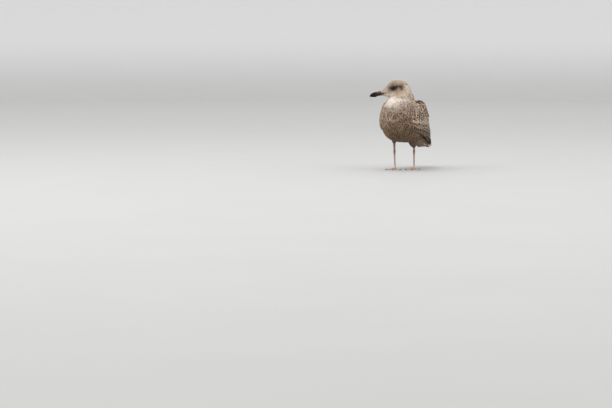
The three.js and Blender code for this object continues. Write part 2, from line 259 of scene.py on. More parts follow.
# %% [markdown]
# ## From arrays to meshes
# Blender can take a mesh as three flat arrays: points, corner indices and where each face starts.
# That is far quicker than adding faces one by one, and the bird has some hundred thousand of them.

# %% Mesh makers
def place(points):
    """Bird frame in millimetres to the shared frame in metres."""
    return (np.asarray(points, float) + SHIFT) * MM


def make_mesh(name, points, face_groups, smooth=True):
    """A mesh object from points in mm and a list of integer arrays, each with one face in each row."""
    mesh = bpy.data.meshes.new(name)
    mesh.vertices.add(len(points))
    mesh.vertices.foreach_set("co", place(points).astype(np.float32).ravel())
    corners = np.concatenate([group.ravel() for group in face_groups]).astype(np.int32)
    sizes = np.concatenate([np.full(len(group), group.shape[1]) for group in face_groups])
    mesh.loops.add(len(corners))
    mesh.loops.foreach_set("vertex_index", corners)
    mesh.polygons.add(len(sizes))
    mesh.polygons.foreach_set("loop_start", (np.cumsum(sizes) - sizes).astype(np.int32))
    mesh.update(calc_edges=True)
    mesh.polygons.foreach_set("use_smooth", np.full(len(sizes), smooth))
    obj = bpy.data.objects.new(name, mesh)
    bpy.context.scene.collection.objects.link(obj)
    return obj


def add_colour(obj, name, values):
    """A colour with four parts for each point: red, green, blue and one spare number."""
    layer = obj.data.attributes.new(name, "FLOAT_COLOR", "POINT")
    layer.data.foreach_set("color", np.ascontiguousarray(values, np.float32).ravel())


def add_number(obj, name, values):
    """One number for each point."""
    layer = obj.data.attributes.new(name, "FLOAT", "POINT")
    layer.data.foreach_set("value", np.ascontiguousarray(values, np.float32).ravel())


def add_uv(obj, name, values):
    """A UV map from one pair of numbers for each point."""
    corners = np.empty(len(obj.data.loops), np.int32)
    obj.data.loops.foreach_get("vertex_index", corners)
    layer = obj.data.uv_layers.new(name=name)
    layer.uv.foreach_set("vector", np.ascontiguousarray(values[corners], np.float32).ravel())


def grid_faces(rows, columns, wrap):
    """Quads between neighbouring rows and columns of a grid, with the last column joined if it wraps."""
    index = np.arange(rows * columns).reshape(rows, columns)
    after = np.roll(index, -1, axis=1)
    if not wrap:
        index, after = index[:, :-1], after[:, :-1]
    return np.stack([index[:-1], after[:-1], after[1:], index[1:]], axis=-1).reshape(-1, 4)


def closed_tube(grid):
    """Points and faces of a ring grid with a fan over each end, faces outwards for rings that go left."""
    rows, columns, _ = grid.shape
    points = np.concatenate([grid.reshape(-1, 3), grid[:1].mean(axis=1), grid[-1:].mean(axis=1)])
    start = np.arange(columns)
    after = np.roll(start, -1)
    last = (rows - 1) * columns
    fan_start = np.stack([np.full(columns, rows * columns), after, start], axis=-1)
    fan_end = np.stack([np.full(columns, rows * columns + 1), last + start, last + after], axis=-1)
    return points, [grid_faces(rows, columns, True), fan_start, fan_end]


def loft_tube(rows, u, sides, grow=0.0):
    """The closed tube of a loft, with rings at each u and so many sides."""
    grow = np.broadcast_to(grow, u.shape)
    return closed_tube(loft(rows, u[:, None], np.arange(sides)[None] / sides, grow[:, None]))


def join_tubes(parts):
    """Several closed shells as one list of points and one list of faces."""
    offset, points, faces = 0, [], []
    for part_points, part_faces in parts:
        points.append(part_points)
        faces.extend(group + offset for group in part_faces)
        offset += len(part_points)
    return np.concatenate(points), faces


def fused(name, parts, voxel, smoothing):
    """One closed skin round overlapping shells: a voxel remesh, then a smoothing of its steps."""
    rough = make_mesh(name, *join_tubes(parts))
    remesh = rough.modifiers.new("fuse", "REMESH")
    remesh.mode = "VOXEL"
    remesh.voxel_size = voxel * MM
    soften = rough.modifiers.new("soften", "SMOOTH")
    soften.factor = 0.5
    soften.iterations = smoothing
    graph = bpy.context.evaluated_depsgraph_get()
    mesh = bpy.data.meshes.new_from_object(rough.evaluated_get(graph))
    mesh.name = name
    bpy.data.objects.remove(rough)
    obj = bpy.data.objects.new(name, mesh)
    bpy.context.scene.collection.objects.link(obj)
    mesh.polygons.foreach_set("use_smooth", np.ones(len(mesh.polygons), bool))
    return obj


def mesh_points(obj):
    """The points of a mesh in the bird frame, in mm, with their normals."""
    count = len(obj.data.vertices)
    points, normals = np.empty(count * 3, np.float32), np.empty(count * 3, np.float32)
    obj.data.vertices.foreach_get("co", points)
    obj.data.vertices.foreach_get("normal", normals)
    return points.reshape(-1, 3) / MM - SHIFT, normals.reshape(-1, 3).astype(float)


def move_points(obj, points):
    """Puts the points of a mesh at new places, given in mm in the bird frame."""
    obj.data.vertices.foreach_set("co", place(points).astype(np.float32).ravel())
    obj.data.update()


def count_triangles(obj):
    """A face with n corners counts as n - 2 triangles."""
    sizes = np.empty(len(obj.data.polygons), np.int32)
    obj.data.polygons.foreach_get("loop_total", sizes)
    return int(np.sum(sizes - 2))


# %% [markdown]
# ## Colours
# A first-year gull is a brown, buff and cream bird. We name each tone once, as a painter fills a
# palette, and mix by weight. Screen colours are curved, so they are straightened before light is worked out.

# %% Palette
def tone(red, green, blue):
    """Screen values 0 to 255 to linear light: ((c + 0.055) / 1.055)^2.4, or c / 12.92 near black."""
    c = np.array([red, green, blue]) / 255
    return np.where(c > 0.04045, ((c + 0.055) / 1.055) ** 2.4, c / 12.92)


CREAM = tone(238, 226, 212)
BUFF = tone(208, 183, 157)
SAND = tone(178, 153, 127)
ROSE_BUFF = tone(218, 187, 167)
TAUPE = tone(142, 118, 96)
OLIVE = tone(104, 84, 62)
UMBER = tone(90, 66, 50)
CHESTNUT = tone(108, 74, 56)
SOOT = tone(56, 46, 38)
BLACK_BROWN = tone(30, 24, 20)


def mix(a, b, weight):
    """a * (1 - weight) + b * weight, with a weight for each point."""
    weight = np.asarray(weight)[..., None]
    return a * (1 - weight) + b * weight


def ripple(points, size, seed):
    """Soft random patches about size across, from -1 to 1: the mean of waves in random directions."""
    dice = np.random.default_rng(seed)
    waves = unit(dice.normal(size=(14, 3))) * dice.uniform(0.7, 1.5, (14, 1)) * 2 * np.pi / size
    return np.clip(np.sin(points @ waves.T + dice.uniform(0, 2 * np.pi, 14)).sum(axis=-1) / 4.5, -1, 1)


def blob(s, z, middle, reach):
    """1 at the middle of an ellipse, falling away as exp(-r^2)."""
    return np.exp(-(((s - middle[0]) / reach[0]) ** 2) - ((z - middle[1]) / reach[1]) ** 2)


# %% [markdown]
# ## How a feather is laid
# A feather follows the form of the body. So we walk over the surface from its root: at each step we
# find the slope there, turn it into steps of u and v, and place points to both sides. The vane comes
# out bent to the body with no fitting. Its root is under the coat's surface and its tip just above,
# so a feather that starts nearer the bill always ends up on top, as on the living bird.

# %% Walking over a surface
OUTLINES = {  # share of the length, share of the width
    "contour": [(0, 0.2), (0.3, 0.78), (0.55, 1), (0.78, 0.92), (0.93, 0.6), (1, 0.14)],
    "covert": [(0, 0.15), (0.2, 0.6), (0.42, 0.92), (0.62, 1), (0.8, 0.93), (0.92, 0.68), (1, 0.15)],
    "quill": [
        (0, 0.3), (0.15, 0.55), (0.35, 0.85), (0.6, 1), (0.78, 0.93), (0.9, 0.7), (0.97, 0.38), (1, 0.06),
    ],
    "rectrix": [(0, 0.3), (0.2, 0.6), (0.45, 0.88), (0.7, 1), (0.88, 0.98), (0.96, 0.78), (1, 0.3)],
}


SMALL_STEP = 1e-3  # in u and in v, for measuring a slope


def slopes(surface, u, v):
    """The point, the slopes along u and v by small differences, and the unit normal outwards."""
    along = (surface(u + SMALL_STEP, v) - surface(u - SMALL_STEP, v)) / (2 * SMALL_STEP)
    around = (surface(u, v + SMALL_STEP) - surface(u, v - SMALL_STEP)) / (2 * SMALL_STEP)
    return surface(u, v), along, around, unit(np.cross(around, along))


def steps_for(along, around, move):
    """The steps of u and v that give a move in the surface: the 2 by 2 system of the two slopes."""
    aa, ar, rr = dot(along, along), dot(along, around), dot(around, around)
    ma, mr = dot(move, along), dot(move, around)
    area = np.maximum(aa * rr - ar * ar, 1e-6)
    return (ma * rr - mr * ar) / area, (mr * aa - ma * ar) / area


def lay(surface, u, v, heading, length, width, lift, outline, u_limits, columns=3, camber=0.12):
    """Vanes as a grid of points: root + walk along the heading, + side steps, + normal * lift.

    heading is in degrees from the tail towards growing v, and lift holds the heights of root and tip."""
    u, v = np.array(u, float), np.array(v, float)
    turn = np.radians(np.broadcast_to(heading, u.shape))[:, None]
    across = np.linspace(-1, 1, columns)
    grid, normals, walked = [], [], 0.0
    for share, fullness in OUTLINES[outline]:
        _, along, around, out = slopes(surface, u, v)
        lie = unit(along)
        side = np.cross(lie, out)
        forward = np.cos(turn) * lie + np.sin(turn) * side
        sideways = np.cos(turn) * side - np.sin(turn) * lie
        if share > walked:
            du, dv = steps_for(along, around, forward * ((share - walked) * length)[:, None])
            u, v, walked = np.clip(u + du, *u_limits), v + np.clip(dv, -0.1, 0.1), share
            _, along, around, out = slopes(surface, u, v)
        half = (width / 2 * fullness)[:, None] * across
        du, dv = steps_for(along[:, None], around[:, None], sideways[:, None] * half[..., None])
        du, dv = np.clip(du, -0.8, 0.8), np.clip(dv, -0.12, 0.12)
        height = (lift[0] + (lift[1] - lift[0]) * share)[:, None] - camber * np.abs(half) * np.abs(across)
        grid.append(surface(u[:, None] + du, v[:, None] + dv) + out[:, None] * height[..., None])
        normals.append(out)
    return np.stack(grid, axis=1), np.stack(normals, axis=1)


# %% Laid vanes as one mesh
def vane_faces(rows, columns):
    """Faces of one closed thin vane: the grid above, and below it a lining that shares its rim."""
    top = np.arange(rows * columns).reshape(rows, columns)
    lining = top.copy()
    inner = (rows - 2) * (columns - 2)
    lining[1:-1, 1:-1] = rows * columns + np.arange(inner).reshape(rows - 2, columns - 2)
    above = np.stack([top[:-1, :-1], top[:-1, 1:], top[1:, 1:], top[1:, :-1]], axis=-1).reshape(-1, 4)
    below = np.stack([lining[:-1, :-1], lining[1:, :-1], lining[1:, 1:], lining[:-1, 1:]], axis=-1)
    return np.concatenate([above, below.reshape(-1, 4)])


def with_lining(values):
    """Adds the values of a grid's inner points once more, for the lining."""
    count = values.shape[0]
    inner = values[:, 1:-1, 1:-1].reshape(count, -1, values.shape[-1])
    return np.concatenate([values.reshape(count, -1, values.shape[-1]), inner], axis=1)


UNEVEN = 2.6  # a vane is dropped when a step or its width is this many times the usual


def sound_vanes(grids, outline):
    """True for vanes of a usual length whose steps are even and whose sides don't run away.

    Where a ring is small, a walk can overshoot; such a vane is dropped."""
    shares = np.array([share for share, _ in OUTLINES[outline]])
    middle = grids[:, :, grids.shape[2] // 2]
    spans = np.linalg.norm(middle[:, -1] - middle[:, 0], axis=-1)
    pace = np.linalg.norm(np.diff(middle, axis=1), axis=-1) / (np.diff(shares) * spans[:, None])
    widths = np.linalg.norm(grids[:, :, -1] - grids[:, :, 0], axis=-1).max(axis=1) / spans
    usual = (spans < 1.8 * np.median(spans)) & (spans > 0.3 * np.median(spans))
    return usual & (pace.max(axis=1) < UNEVEN) & (widths < UNEVEN * np.median(widths))


SMALL_PATCH = 0.003  # the part of the baked sheet that one small feather takes


def feather_mesh(name, grids, normals, looks, patches, outline, thickness, side=1.0, patch_size=SMALL_PATCH):
    """All the vanes of a tract as one mesh.

    looks holds centre, fringe and streak for each feather, each of four numbers. patches holds the
    place of each root on the unwrapped skin, from 0 to 1."""
    sound = sound_vanes(grids, outline)
    grids, normals, patches = grids[sound], normals[sound], patches[sound]
    looks = {key: values[sound] for key, values in looks.items()}
    thickness = np.broadcast_to(thickness, sound.shape)[sound]
    count, rows, columns, _ = grids.shape
    points = with_lining(grids)
    inner_out = np.broadcast_to(normals[:, :, None], grids.shape)[:, 1:-1, 1:-1].reshape(count, -1, 3)
    points[:, rows * columns :] -= inner_out * np.reshape(thickness, (-1, 1, 1))
    points[..., 0] *= side
    single = vane_faces(rows, columns)
    if side < 0:
        single = single[:, ::-1]
    each = points.shape[1]
    faces = (single[None] + each * np.arange(count)[:, None, None]).reshape(-1, 4)
    obj = make_mesh(name, points.reshape(-1, 3), [faces])

    shares = np.array([share for share, _ in OUTLINES[outline]])
    across = np.linspace(0, 1, columns)
    vane = np.stack(np.broadcast_arrays(across[None], shares[:, None]), axis=-1)[None]
    vane = with_lining(vane)[0]
    add_uv(obj, "vane", np.tile(vane, (count, 1)))
    spots = patches[:, None] + (vane[None] - 0.5) * patch_size
    add_uv(obj, "OFBake", spots.reshape(-1, 2))
    for key, values in looks.items():
        add_colour(obj, key, np.repeat(values, each, axis=0))

    rim = np.ones((rows, columns), bool)
    rim[1:-1, 1:-1] = False
    on_rim = np.tile(np.concatenate([rim.ravel(), np.zeros(each - rows * columns, bool)]), count)
    ends = np.empty(len(obj.data.edges) * 2, np.int32)
    obj.data.edges.foreach_get("vertices", ends)
    sharp = on_rim[ends.reshape(-1, 2)].all(axis=1)
    obj.data.attributes.new("sharp_edge", "BOOLEAN", "EDGE").data.foreach_set("value", sharp)
    return obj


# %% Roots spread evenly over a surface
CELLS = (160, 120)  # patches along u and v in which the feathers are counted
PLASTIC = 1.324717957244746  # the plastic number, the real root of p^3 = p + 1


def scatter(surface, u_span, v_span, size_of, cover, seed):
    """Roots whose number in each patch is cover * area / (feather length * width).

    A low-discrepancy row (steps of the plastic number's powers) is bent by the summed numbers, so the
    roots are even but never in straight lines."""
    u_edges, v_edges = np.linspace(*u_span, CELLS[0] + 1), np.linspace(*v_span, CELLS[1] + 1)
    u_mid, v_mid = (u_edges[1:] + u_edges[:-1]) / 2, (v_edges[1:] + v_edges[:-1]) / 2
    uu, vv = np.meshgrid(u_mid, v_mid, indexing="ij")
    point, along, around, _ = slopes(surface, uu, vv)
    area = np.linalg.norm(np.cross(along, around), axis=-1) * np.ptp(u_span) * np.ptp(v_span) / uu.size
    length, width = size_of(uu, vv, point)
    number = cover * area / (length * width)
    count = int(number.sum())
    k = np.arange(count) + 0.5 + seed * 1000
    first, second = (k / PLASTIC) % 1, (k / PLASTIC**2) % 1
    rows_sum = np.concatenate([[0], np.cumsum(number.sum(axis=1))])
    u = np.interp(first * rows_sum[-1], rows_sum, u_edges)
    row = np.clip(np.searchsorted(u_edges, u, side="right") - 1, 0, CELLS[0] - 1)
    sums = np.cumsum(number, axis=1)
    sums = np.concatenate([np.zeros((CELLS[0], 1)), sums], axis=1) / sums[:, -1:]
    picked = sums[row]
    cell = np.clip((picked <= second[:, None]).sum(axis=1) - 1, 0, CELLS[1] - 1)
    low = np.take_along_axis(picked, cell[:, None], 1)[:, 0]
    high = np.take_along_axis(picked, cell[:, None] + 1, 1)[:, 0]
    v = v_edges[cell] + (second - low) / np.maximum(high - low, 1e-12) * (v_edges[1] - v_edges[0])
    return u, v


# %% Draping over a neighbour
def shell_samples(surface, u_span, steps):
    """Points and outward normals on a grid over a closed surface."""
    u, v = np.meshgrid(np.linspace(*u_span, steps[0]), np.arange(steps[1]) / steps[1], indexing="ij")
    point, _, _, out = slopes(surface, u, v)
    return point.reshape(-1, 3), out.reshape(-1, 3)


SLICE = 2000  # points compared at a time, so that the table of distances stays small


def nearest(points, targets):
    """The index of the nearest target for each point: |p - q|^2 = p.p - 2 p.q + q.q, in slices."""
    squares = dot(targets, targets)
    slices = np.array_split(points, len(points) // SLICE + 1)
    return np.concatenate([np.argmin(squares - 2 * part @ targets.T, axis=1) for part in slices])


def height_over(points, shell):
    """Height over the plane of the nearest sample, negative inside, and that sample's normal."""
    samples, out = shell
    index = nearest(points, samples)
    return dot(points - samples[index], out[index]), out[index]


def drape(grids, shell, clearance):
    """Moves every point that is lower than its clearance over a shell out to it, along its normal."""
    shape = grids.shape
    points = grids.reshape(-1, 3)
    close = np.broadcast_to(np.asarray(clearance, float), shape[:-1]).reshape(-1)
    height, out = height_over(points, shell)
    return (points + out * np.maximum(close - height, 0)[:, None]).reshape(shape)


def rising(grids, root, tip):
    """A clearance for each point of the vanes that grows evenly from root to tip."""
    return np.broadcast_to(np.linspace(root, tip, grids.shape[1])[None, :, None], grids.shape[:3])


def drape_over_wings(grids, clearance):
    """Drapes over the left wing and, with x turned round, over the right one."""
    grids = drape(grids, wing_shell, clearance)
    return drape(grids * [-1, 1, 1], wing_shell, clearance) * [-1, 1, 1]


wing_shell = shell_samples(wing_surface, (0, WING_END), (121, 56))
body_shell = shell_samples(body_surface, (5.0, BODY_END), (131, 72))
print("samples on a wing and on the body:", len(wing_shell[0]), len(body_shell[0]))

# %% [markdown]
# ## The legs and feet as solids of rotation
# A gull's bare leg is thin bone in scaly skin: the lower leg comes out of the thigh's feathers, the hock
# points backwards, and the shank ends in three webbed toes and a tiny hind toe. Each part is a tapered
# tube. The parts are fused by a voxel remesh, so that toe, web and heel flow into each other.

# %% Limbs
def limb_rows(points):
    """Rows of x, y, z, half width and half depth as stations that face along the limb."""
    points = np.asarray(points, float)
    before, after = points[[0, *range(len(points) - 1)]], points[[*range(1, len(points)), -1]]
    pitch = np.degrees(np.arctan2(before[:, 2] - after[:, 2], after[:, 1] - before[:, 1]))
    blank = np.zeros(len(points))
    deep = points[:, 4]
    return np.stack([*points[:, :3].T, blank, pitch, points[:, 3], deep, deep, blank + 2, blank], axis=-1)


def limb_tube(points, steps, sides, grow=0.0):
    """The closed tube of a limb, with so many rings to each of its stations."""
    rows = limb_rows(points)
    return loft_tube(rows, np.linspace(0, len(rows) - 1, (len(rows) - 1) * steps + 1), sides, grow)


def turned(points, degrees):
    """Points turned about the upright axis."""
    c, s = np.cos(np.radians(degrees)), np.sin(np.radians(degrees))
    return points @ np.array([[c, s, 0], [-s, c, 0], [0, 0, 1]])


def leg_places(name):
    """The joints of one leg: ankle, hock and hip."""
    side = SIDES[name]
    ankle = np.array([side * LEG_OUT, ANKLE_Y + side * STRIDE, 0])
    return side, ankle, ankle[1] + HOCK_BACK, ANKLE_Y + HOCK_BACK + side * STRIDE * 0.4


def leg_x(name, z):
    """The ankle's x, leaned with height up to the hock, and slanting back above it."""
    leaned = SIDES[name] * LEG_OUT - HOCK_LEAN[name] * min(z / HOCK_HEIGHT, 1)
    return leaned + SHIN_SLANT * max(z - HOCK_HEIGHT, 0)


def thigh_points(name):
    """The feathered thigh from its cuff up into the flank: x, y, z, half width and half depth."""
    side, ankle, hock_y, hip = leg_places(name)
    cuff = THIGH_END[name]
    x, z = ankle[0], HOCK_HEIGHT + cuff
    return [
        [leg_x(name, z), hock_y - 2 - cuff * 0.22, z, 5.4, 6.4],
        [leg_x(name, z + 5), hock_y - 4 - cuff * 0.22, z + 5, 8.5, 10.5],
        [x + side, (hock_y + hip) / 2 - 10, z + 14, 13, 18],
        [x + side * 2, hip - 16, z + 26, 17, 25],
        [x + side * 2, hip - 20, z + 38, 18, 27],
    ]


# %% [markdown]
# ## One skin
# Under the feathers the bird is one skin from bill to tail. We loft body, wings and thighs a coat's
# depth inside the outline, and fuse them. Where feathers part, this is what shows, so the skin later
# takes the colours of the feathers that are rooted in it.

# %% The skin
TAIL_ROWS = [
    [0, 138, 127, 0, 26, 17, 3.5, 4, 2.4, 0],
    [0, 174, 109, 0, 27, 23, 4.5, 4.5, 2.6, 0],
    [0, 208, 91, 0, 27, 24.5, 4.2, 3.8, 3, 0],
    [0, 234, 77.5, 0, 27, 22, 3.2, 2.8, 3.2, 0],
    [0, 246, 71.5, 0, 27, 15, 1.8, 1.8, 2.4, 0],
]
SKIN_VOXEL = 2.2
COAT_DEPTH = ([0, 1.5, 4, 6, 8, 18], [0.9, 1.2, 1.5, 1.8, 2.4, 2.8])  # stations, and mm of coat there
WING_COAT_DEPTH = ([0, 1, 6, 8, 9.1], [3.2, 3.2, 3.0, 2.2, 1.5])
TAIL_COAT_DEPTH = 1.2
THIGH_COAT_DEPTH = 1.6


def mirrored(tube):
    """The other side of a closed shell: x changes its sign and every face is read backwards."""
    points, faces = tube
    return points * [-1, 1, 1], [group[:, ::-1] for group in faces]


body_u = np.linspace(0, BODY_END, 109)
wing_u = np.linspace(0.15, 9.1, 73)
body_core = loft_tube(BODY_ROWS, body_u, 72, -np.interp(body_u, *COAT_DEPTH))
wing_core = loft_tube(WING_ROWS, wing_u, 48, -np.interp(wing_u, *WING_COAT_DEPTH))
tail_core = loft_tube(TAIL_ROWS, np.linspace(0, 1.6, 13), 24, -TAIL_COAT_DEPTH)
skin_parts = [body_core, wing_core, mirrored(wing_core), tail_core]
skin_parts += [limb_tube(thigh_points(name), 4, 24, -THIGH_COAT_DEPTH) for name in SIDES]
skin = fused("skin", skin_parts, SKIN_VOXEL, 4)
points, _ = mesh_points(skin)
move_points(skin, press_sockets(points))
print("skin triangles:", count_triangles(skin))

# %% [markdown]
# ## Markings of head, neck and underparts
# The head is pale buff, with a dusky crown, a near-black patch round the eye that trails back to the
# ear, a whitish throat, and a painted shadow under the chin and along the jaw. Down the breast the
# cream turns to sand and then to a dull olive brown, darker low down partly by painted shade. The
# sides of the breast are richer, brown feathers with rosy buff edges. Painted light makes the bird's
# right side and its higher feathers paler. We write this as a function of place, so feathers and skin
# can both ask it for their colour.

# %% Where each tone lies
def graded(value, stops, colours):
    """Each part of the colour read off a broken line through the stops."""
    colours = np.array(colours)
    return np.stack([np.interp(value, stops, colours[:, k]) for k in range(3)], axis=-1)


# Breast tones by height: darker low down, partly the plumage and partly painted shade of the underside
BREAST_STOPS = [100, 130, 158, 182, 204, 220, 236, 250]  # heights above the floor
BREAST_TONES = [
    tone(104, 83, 56), tone(119, 96, 68), tone(131, 107, 82), tone(142, 119, 96), tone(160, 137, 117),
    tone(196, 175, 156), tone(224, 208, 192), tone(238, 226, 214),
]
HEAD_MARKS = [  # middle and reach in mm forward of the eye and above it, tone, strength
    ((-24, -18), (26, 9), CREAM, 0.2),
    ((-50, 17), (9, 8), CREAM, 0.5),
    ((-54, -4), (13, 22), CREAM, 0.7),
    ((6, -44), (32, 13), tone(250, 243, 236), 0.9),
    ((-18, 27), (14, 6), ROSE_BUFF, 0.7),
    ((-3, 16), (12, 7), CHESTNUT, 0.65),
    ((-31, 16), (9, 6.5), TAUPE, 0.65),
    ((15, 6), (9, 8.5), TAUPE * 0.9, 0.35),
    ((28, 1), (6, 7), CREAM, 0.4),
    ((14, -9), (9, 5), SAND * 0.9, 0.6),
    ((-13, -12), (9, 6), TAUPE, 0.5),
    ((-10, -20), (15, 8), SAND, 0.45),
    ((-31, -2), (12, 9), tone(98, 73, 50), 0.9),
    ((-6, -9.5), (8, 2.4), BUFF, 0.6),
    ((18, -21), (14, 4.2), CREAM, 0.9),
    ((34, -17.3), (12, 2.9), UMBER * 0.5, 1),
    ((40, -19.2), (7, 4), tone(70, 48, 43), 1),
    # painted shadow: a dark line under the chin, below the bill
    ((22, -31), (11, 3), TAUPE, 0.5),
    # painted shadow along the jaw's lower edge, where the head shades the neck
    ((-28, -30), (18, 4.5), TAUPE, 0.55),
    ((-27, 7), (10.5, 6), UMBER * 0.55, 0.95),
    ((0, 0.5), (12.5, 8.2), BLACK_BROWN * 0.6, 1),
    ((-13, 6), (13, 7), BLACK_BROWN * 0.7, 0.98),
    ((9.5, 1), (6, 4.5), BLACK_BROWN, 0.6),
    ((-1, -0.5), (13.5, 8.8), BLACK_BROWN * 0.4, 1),
]


def head_tones(points):
    """Pale buff, with each mark mixed in by its blob on the side of the head."""
    s, out, z = head_frame(points)
    tones = mix(np.broadcast_to(BUFF * 0.97, points.shape), CREAM, 0.05 + 0.2 * ease(s, -20, 25))
    wide = np.interp(s, [20, 42], [1, 0.5])
    beside = ease(np.abs(out), 4 * wide, 11 * wide)
    for middle, reach, colour, strength in HEAD_MARKS:
        tones = mix(tones, colour, blob(s, z, middle, reach) * beside * strength)
    crown = ease(z, 16, 27) * ease(s, -60, -20) * (1 - ease(s, 14, 26))
    return mix(tones, SAND, crown * 0.5)


def body_tones(points, u, v):
    """Breast by height, partly painted shade low down; nape by the angle round the neck; sides by distance
    from the middle; the right side paler by painted light.
    """
    x, y, height = points.T
    front = 0.5 - 0.5 * np.cos(2 * np.pi * v)
    tones = graded(height + 6 * ripple(points, 50, 6), BREAST_STOPS, BREAST_TONES)
    patch = ripple(points, 26, 5)
    # painted light: the bird's right side (x below 0) is made up to 40% paler; the patch term is patchy tone
    tones = tones * (1 + 0.14 * patch + 0.4 * ease(-x, 0, 45))[:, None]
    throat = np.exp(-(((x + 22) / 48) ** 2 + ((y + 104) / 46) ** 2 + ((height - 258) / 24) ** 2))
    throat = np.clip(throat * 1.5, 0, 1)
    tones = mix(tones, tone(248, 241, 233), throat * 0.9)
    nape = (1 - ease(front, 0.25, 0.7)) * (1 - ease(u, 9, 11))
    tones = mix(tones, mix(mix(BUFF, CREAM, 0.25), SAND * 0.9, 0.2 + 0.4 * patch), nape * 0.85)
    rich = ease(x, 12, 42) + 0.35 * ease(-x, 40, 62)
    rich = rich * ease(height, 140, 170) * (1 - ease(height, 236, 252)) * ease(front, 0.1, 0.35)
    vent = ease(u, 15, 16.5)
    tones = mix(tones, SAND, vent * 0.75)
    at_head = 1 - ease(u, 5.6, 7.6)
    return mix(tones, head_tones(points), at_head), rich, vent, at_head, throat


def body_looks(points, u, v, seed):
    """Centre, fringe and streak tones of each feather of head, neck, breast and belly."""
    dice = np.random.default_rng(seed)
    count = len(points)
    tones, rich, vent, at_head, throat = body_tones(points, u, v)
    plain = np.maximum(at_head * 0.7, throat * 0.85)
    grain = ripple(points * [1, 1, 0.36], 13, 8) + 0.35 * dice.normal(0, 1, count)
    dusky = ease(grain, 0.1, 1.1) * (1 - plain)
    bright = ease(-grain, 0.1, 1.1) * (1 - 0.6 * plain)
    shade = 1 + dice.normal(0, 0.07, count)
    brown = mix(UMBER * 0.8 + 0 * tones, CHESTNUT * 0.8, rich)
    centre = tones * ((0.82 + 0.18 * throat) * shade)[:, None]
    centre = mix(centre, brown, dusky * (0.7 - 0.1 * rich) + 0.4 * rich)
    pale = mix(CREAM + 0 * tones, ROSE_BUFF, 0.3 + 0.6 * rich)
    # painted light from above: feathers high on the body get paler centres and fringes, low ones less
    painted_top_light = 0.3 + 0.7 * ease(points[:, 2], 140, 215)
    centre = mix(centre, pale, bright * 0.3 * painted_top_light)
    dark_mark = 1 - np.clip(tones.mean(axis=-1) / BUFF.mean(), 0, 1)
    # fringe paleness: real pale edges, scaled by the painted light from above; on the head only real edges
    fringe_pale_and_top_light = (0.4 + 0.15 * rich + 0.35 * bright - 0.25 * dusky) * painted_top_light
    fringe_pale_and_top_light = fringe_pale_and_top_light * (1 - at_head) + at_head * 0.12 * (1 - dark_mark)
    fringe = mix(tones, pale, np.clip(fringe_pale_and_top_light, 0, 1))
    fringe_width = 0.17 + 0.08 * dice.random(count) + 0.04 * rich - 0.05 * at_head
    streak = mix(tones * 0.45, UMBER * 0.5, 0.4 + 0.3 * rich)
    strength = np.clip(0.6 + 0.3 * dusky + 0.25 * dice.normal(0, 1, count), 0.1, 1)
    strength = strength * (1 - 0.75 * at_head) * (1 - throat)
    return {
        "centre": np.column_stack([centre, fringe_width]),
        "fringe": np.column_stack([fringe, vent * 0.7]),
        "streak": np.column_stack([streak, strength]),
    }


# %% [markdown]
# ## Small feathers of head, neck, breast and belly
# These are the contour feathers. They are smallest at the bill, shorter than a grain of rice, and
# grow to a fingertip's length on the belly. None grows on the eye, and those round it sink with the
# socket. Those under the folded wing are left out because nobody can see them, and those on the breast
# sides are draped over the wing's front.

# %% Size and lie of a small feather: stations from bill to tail, and the value at each
BODY_LENGTHS = ([0, 1, 2.5, 4.5, 6, 8, 10, 12, 15, 18], [3.2, 3.8, 5, 7.5, 11, 18, 24, 27, 28, 28])
WIDTH_SHARES = ([0, 5, 8, 18], [0.56, 0.52, 0.48, 0.5])
DROOPS = ([0, 6, 9, 12, 18], [14, 8, 9, 8, 4])  # degrees by which a feather on the side hangs down
ROOT_DEPTHS = ([0, 1.5, 4, 6, 8, 18], [0.7, 0.8, 1.0, 1.2, 1.6, 2.4])
TIP_HEIGHTS = ([0, 4, 8, 18], [0.25, 0.35, 0.7, 0.9])
THICKNESSES = ([0, 6, 18], [0.12, 0.2, 0.3])
COVER = 4.5  # how many feathers lie over each other at a place
BARE_MIDDLE, BARE_REACH, BARE_RISE = 1.0, 6.9, 6.5  # the ellipse round the eye where no feather is rooted


def body_sizes(u, v, points):
    """Length by the station, less close to the eye, and width as a share of the length."""
    s, _, z = head_frame(points)
    near_eye = np.exp(-((s / 13) ** 2) - (z / 12) ** 2)
    length = np.interp(u, *BODY_LENGTHS) * (1 - 0.4 * near_eye)
    return length, length * np.interp(u, *WIDTH_SHARES)


def keep_rows(keep, *arrays):
    """The same rows of several arrays."""
    return [array[keep] for array in arrays]


def unwrapped(u, v):
    """Place of a root on the unwrapped body: v across and u up, kept inside the sheet."""
    return np.stack([0.01 + 0.98 * (v % 1), 0.01 + 0.98 * u / BODY_END], axis=-1)


# %% Belts of small feathers
skin_roots, skin_tones = [], []


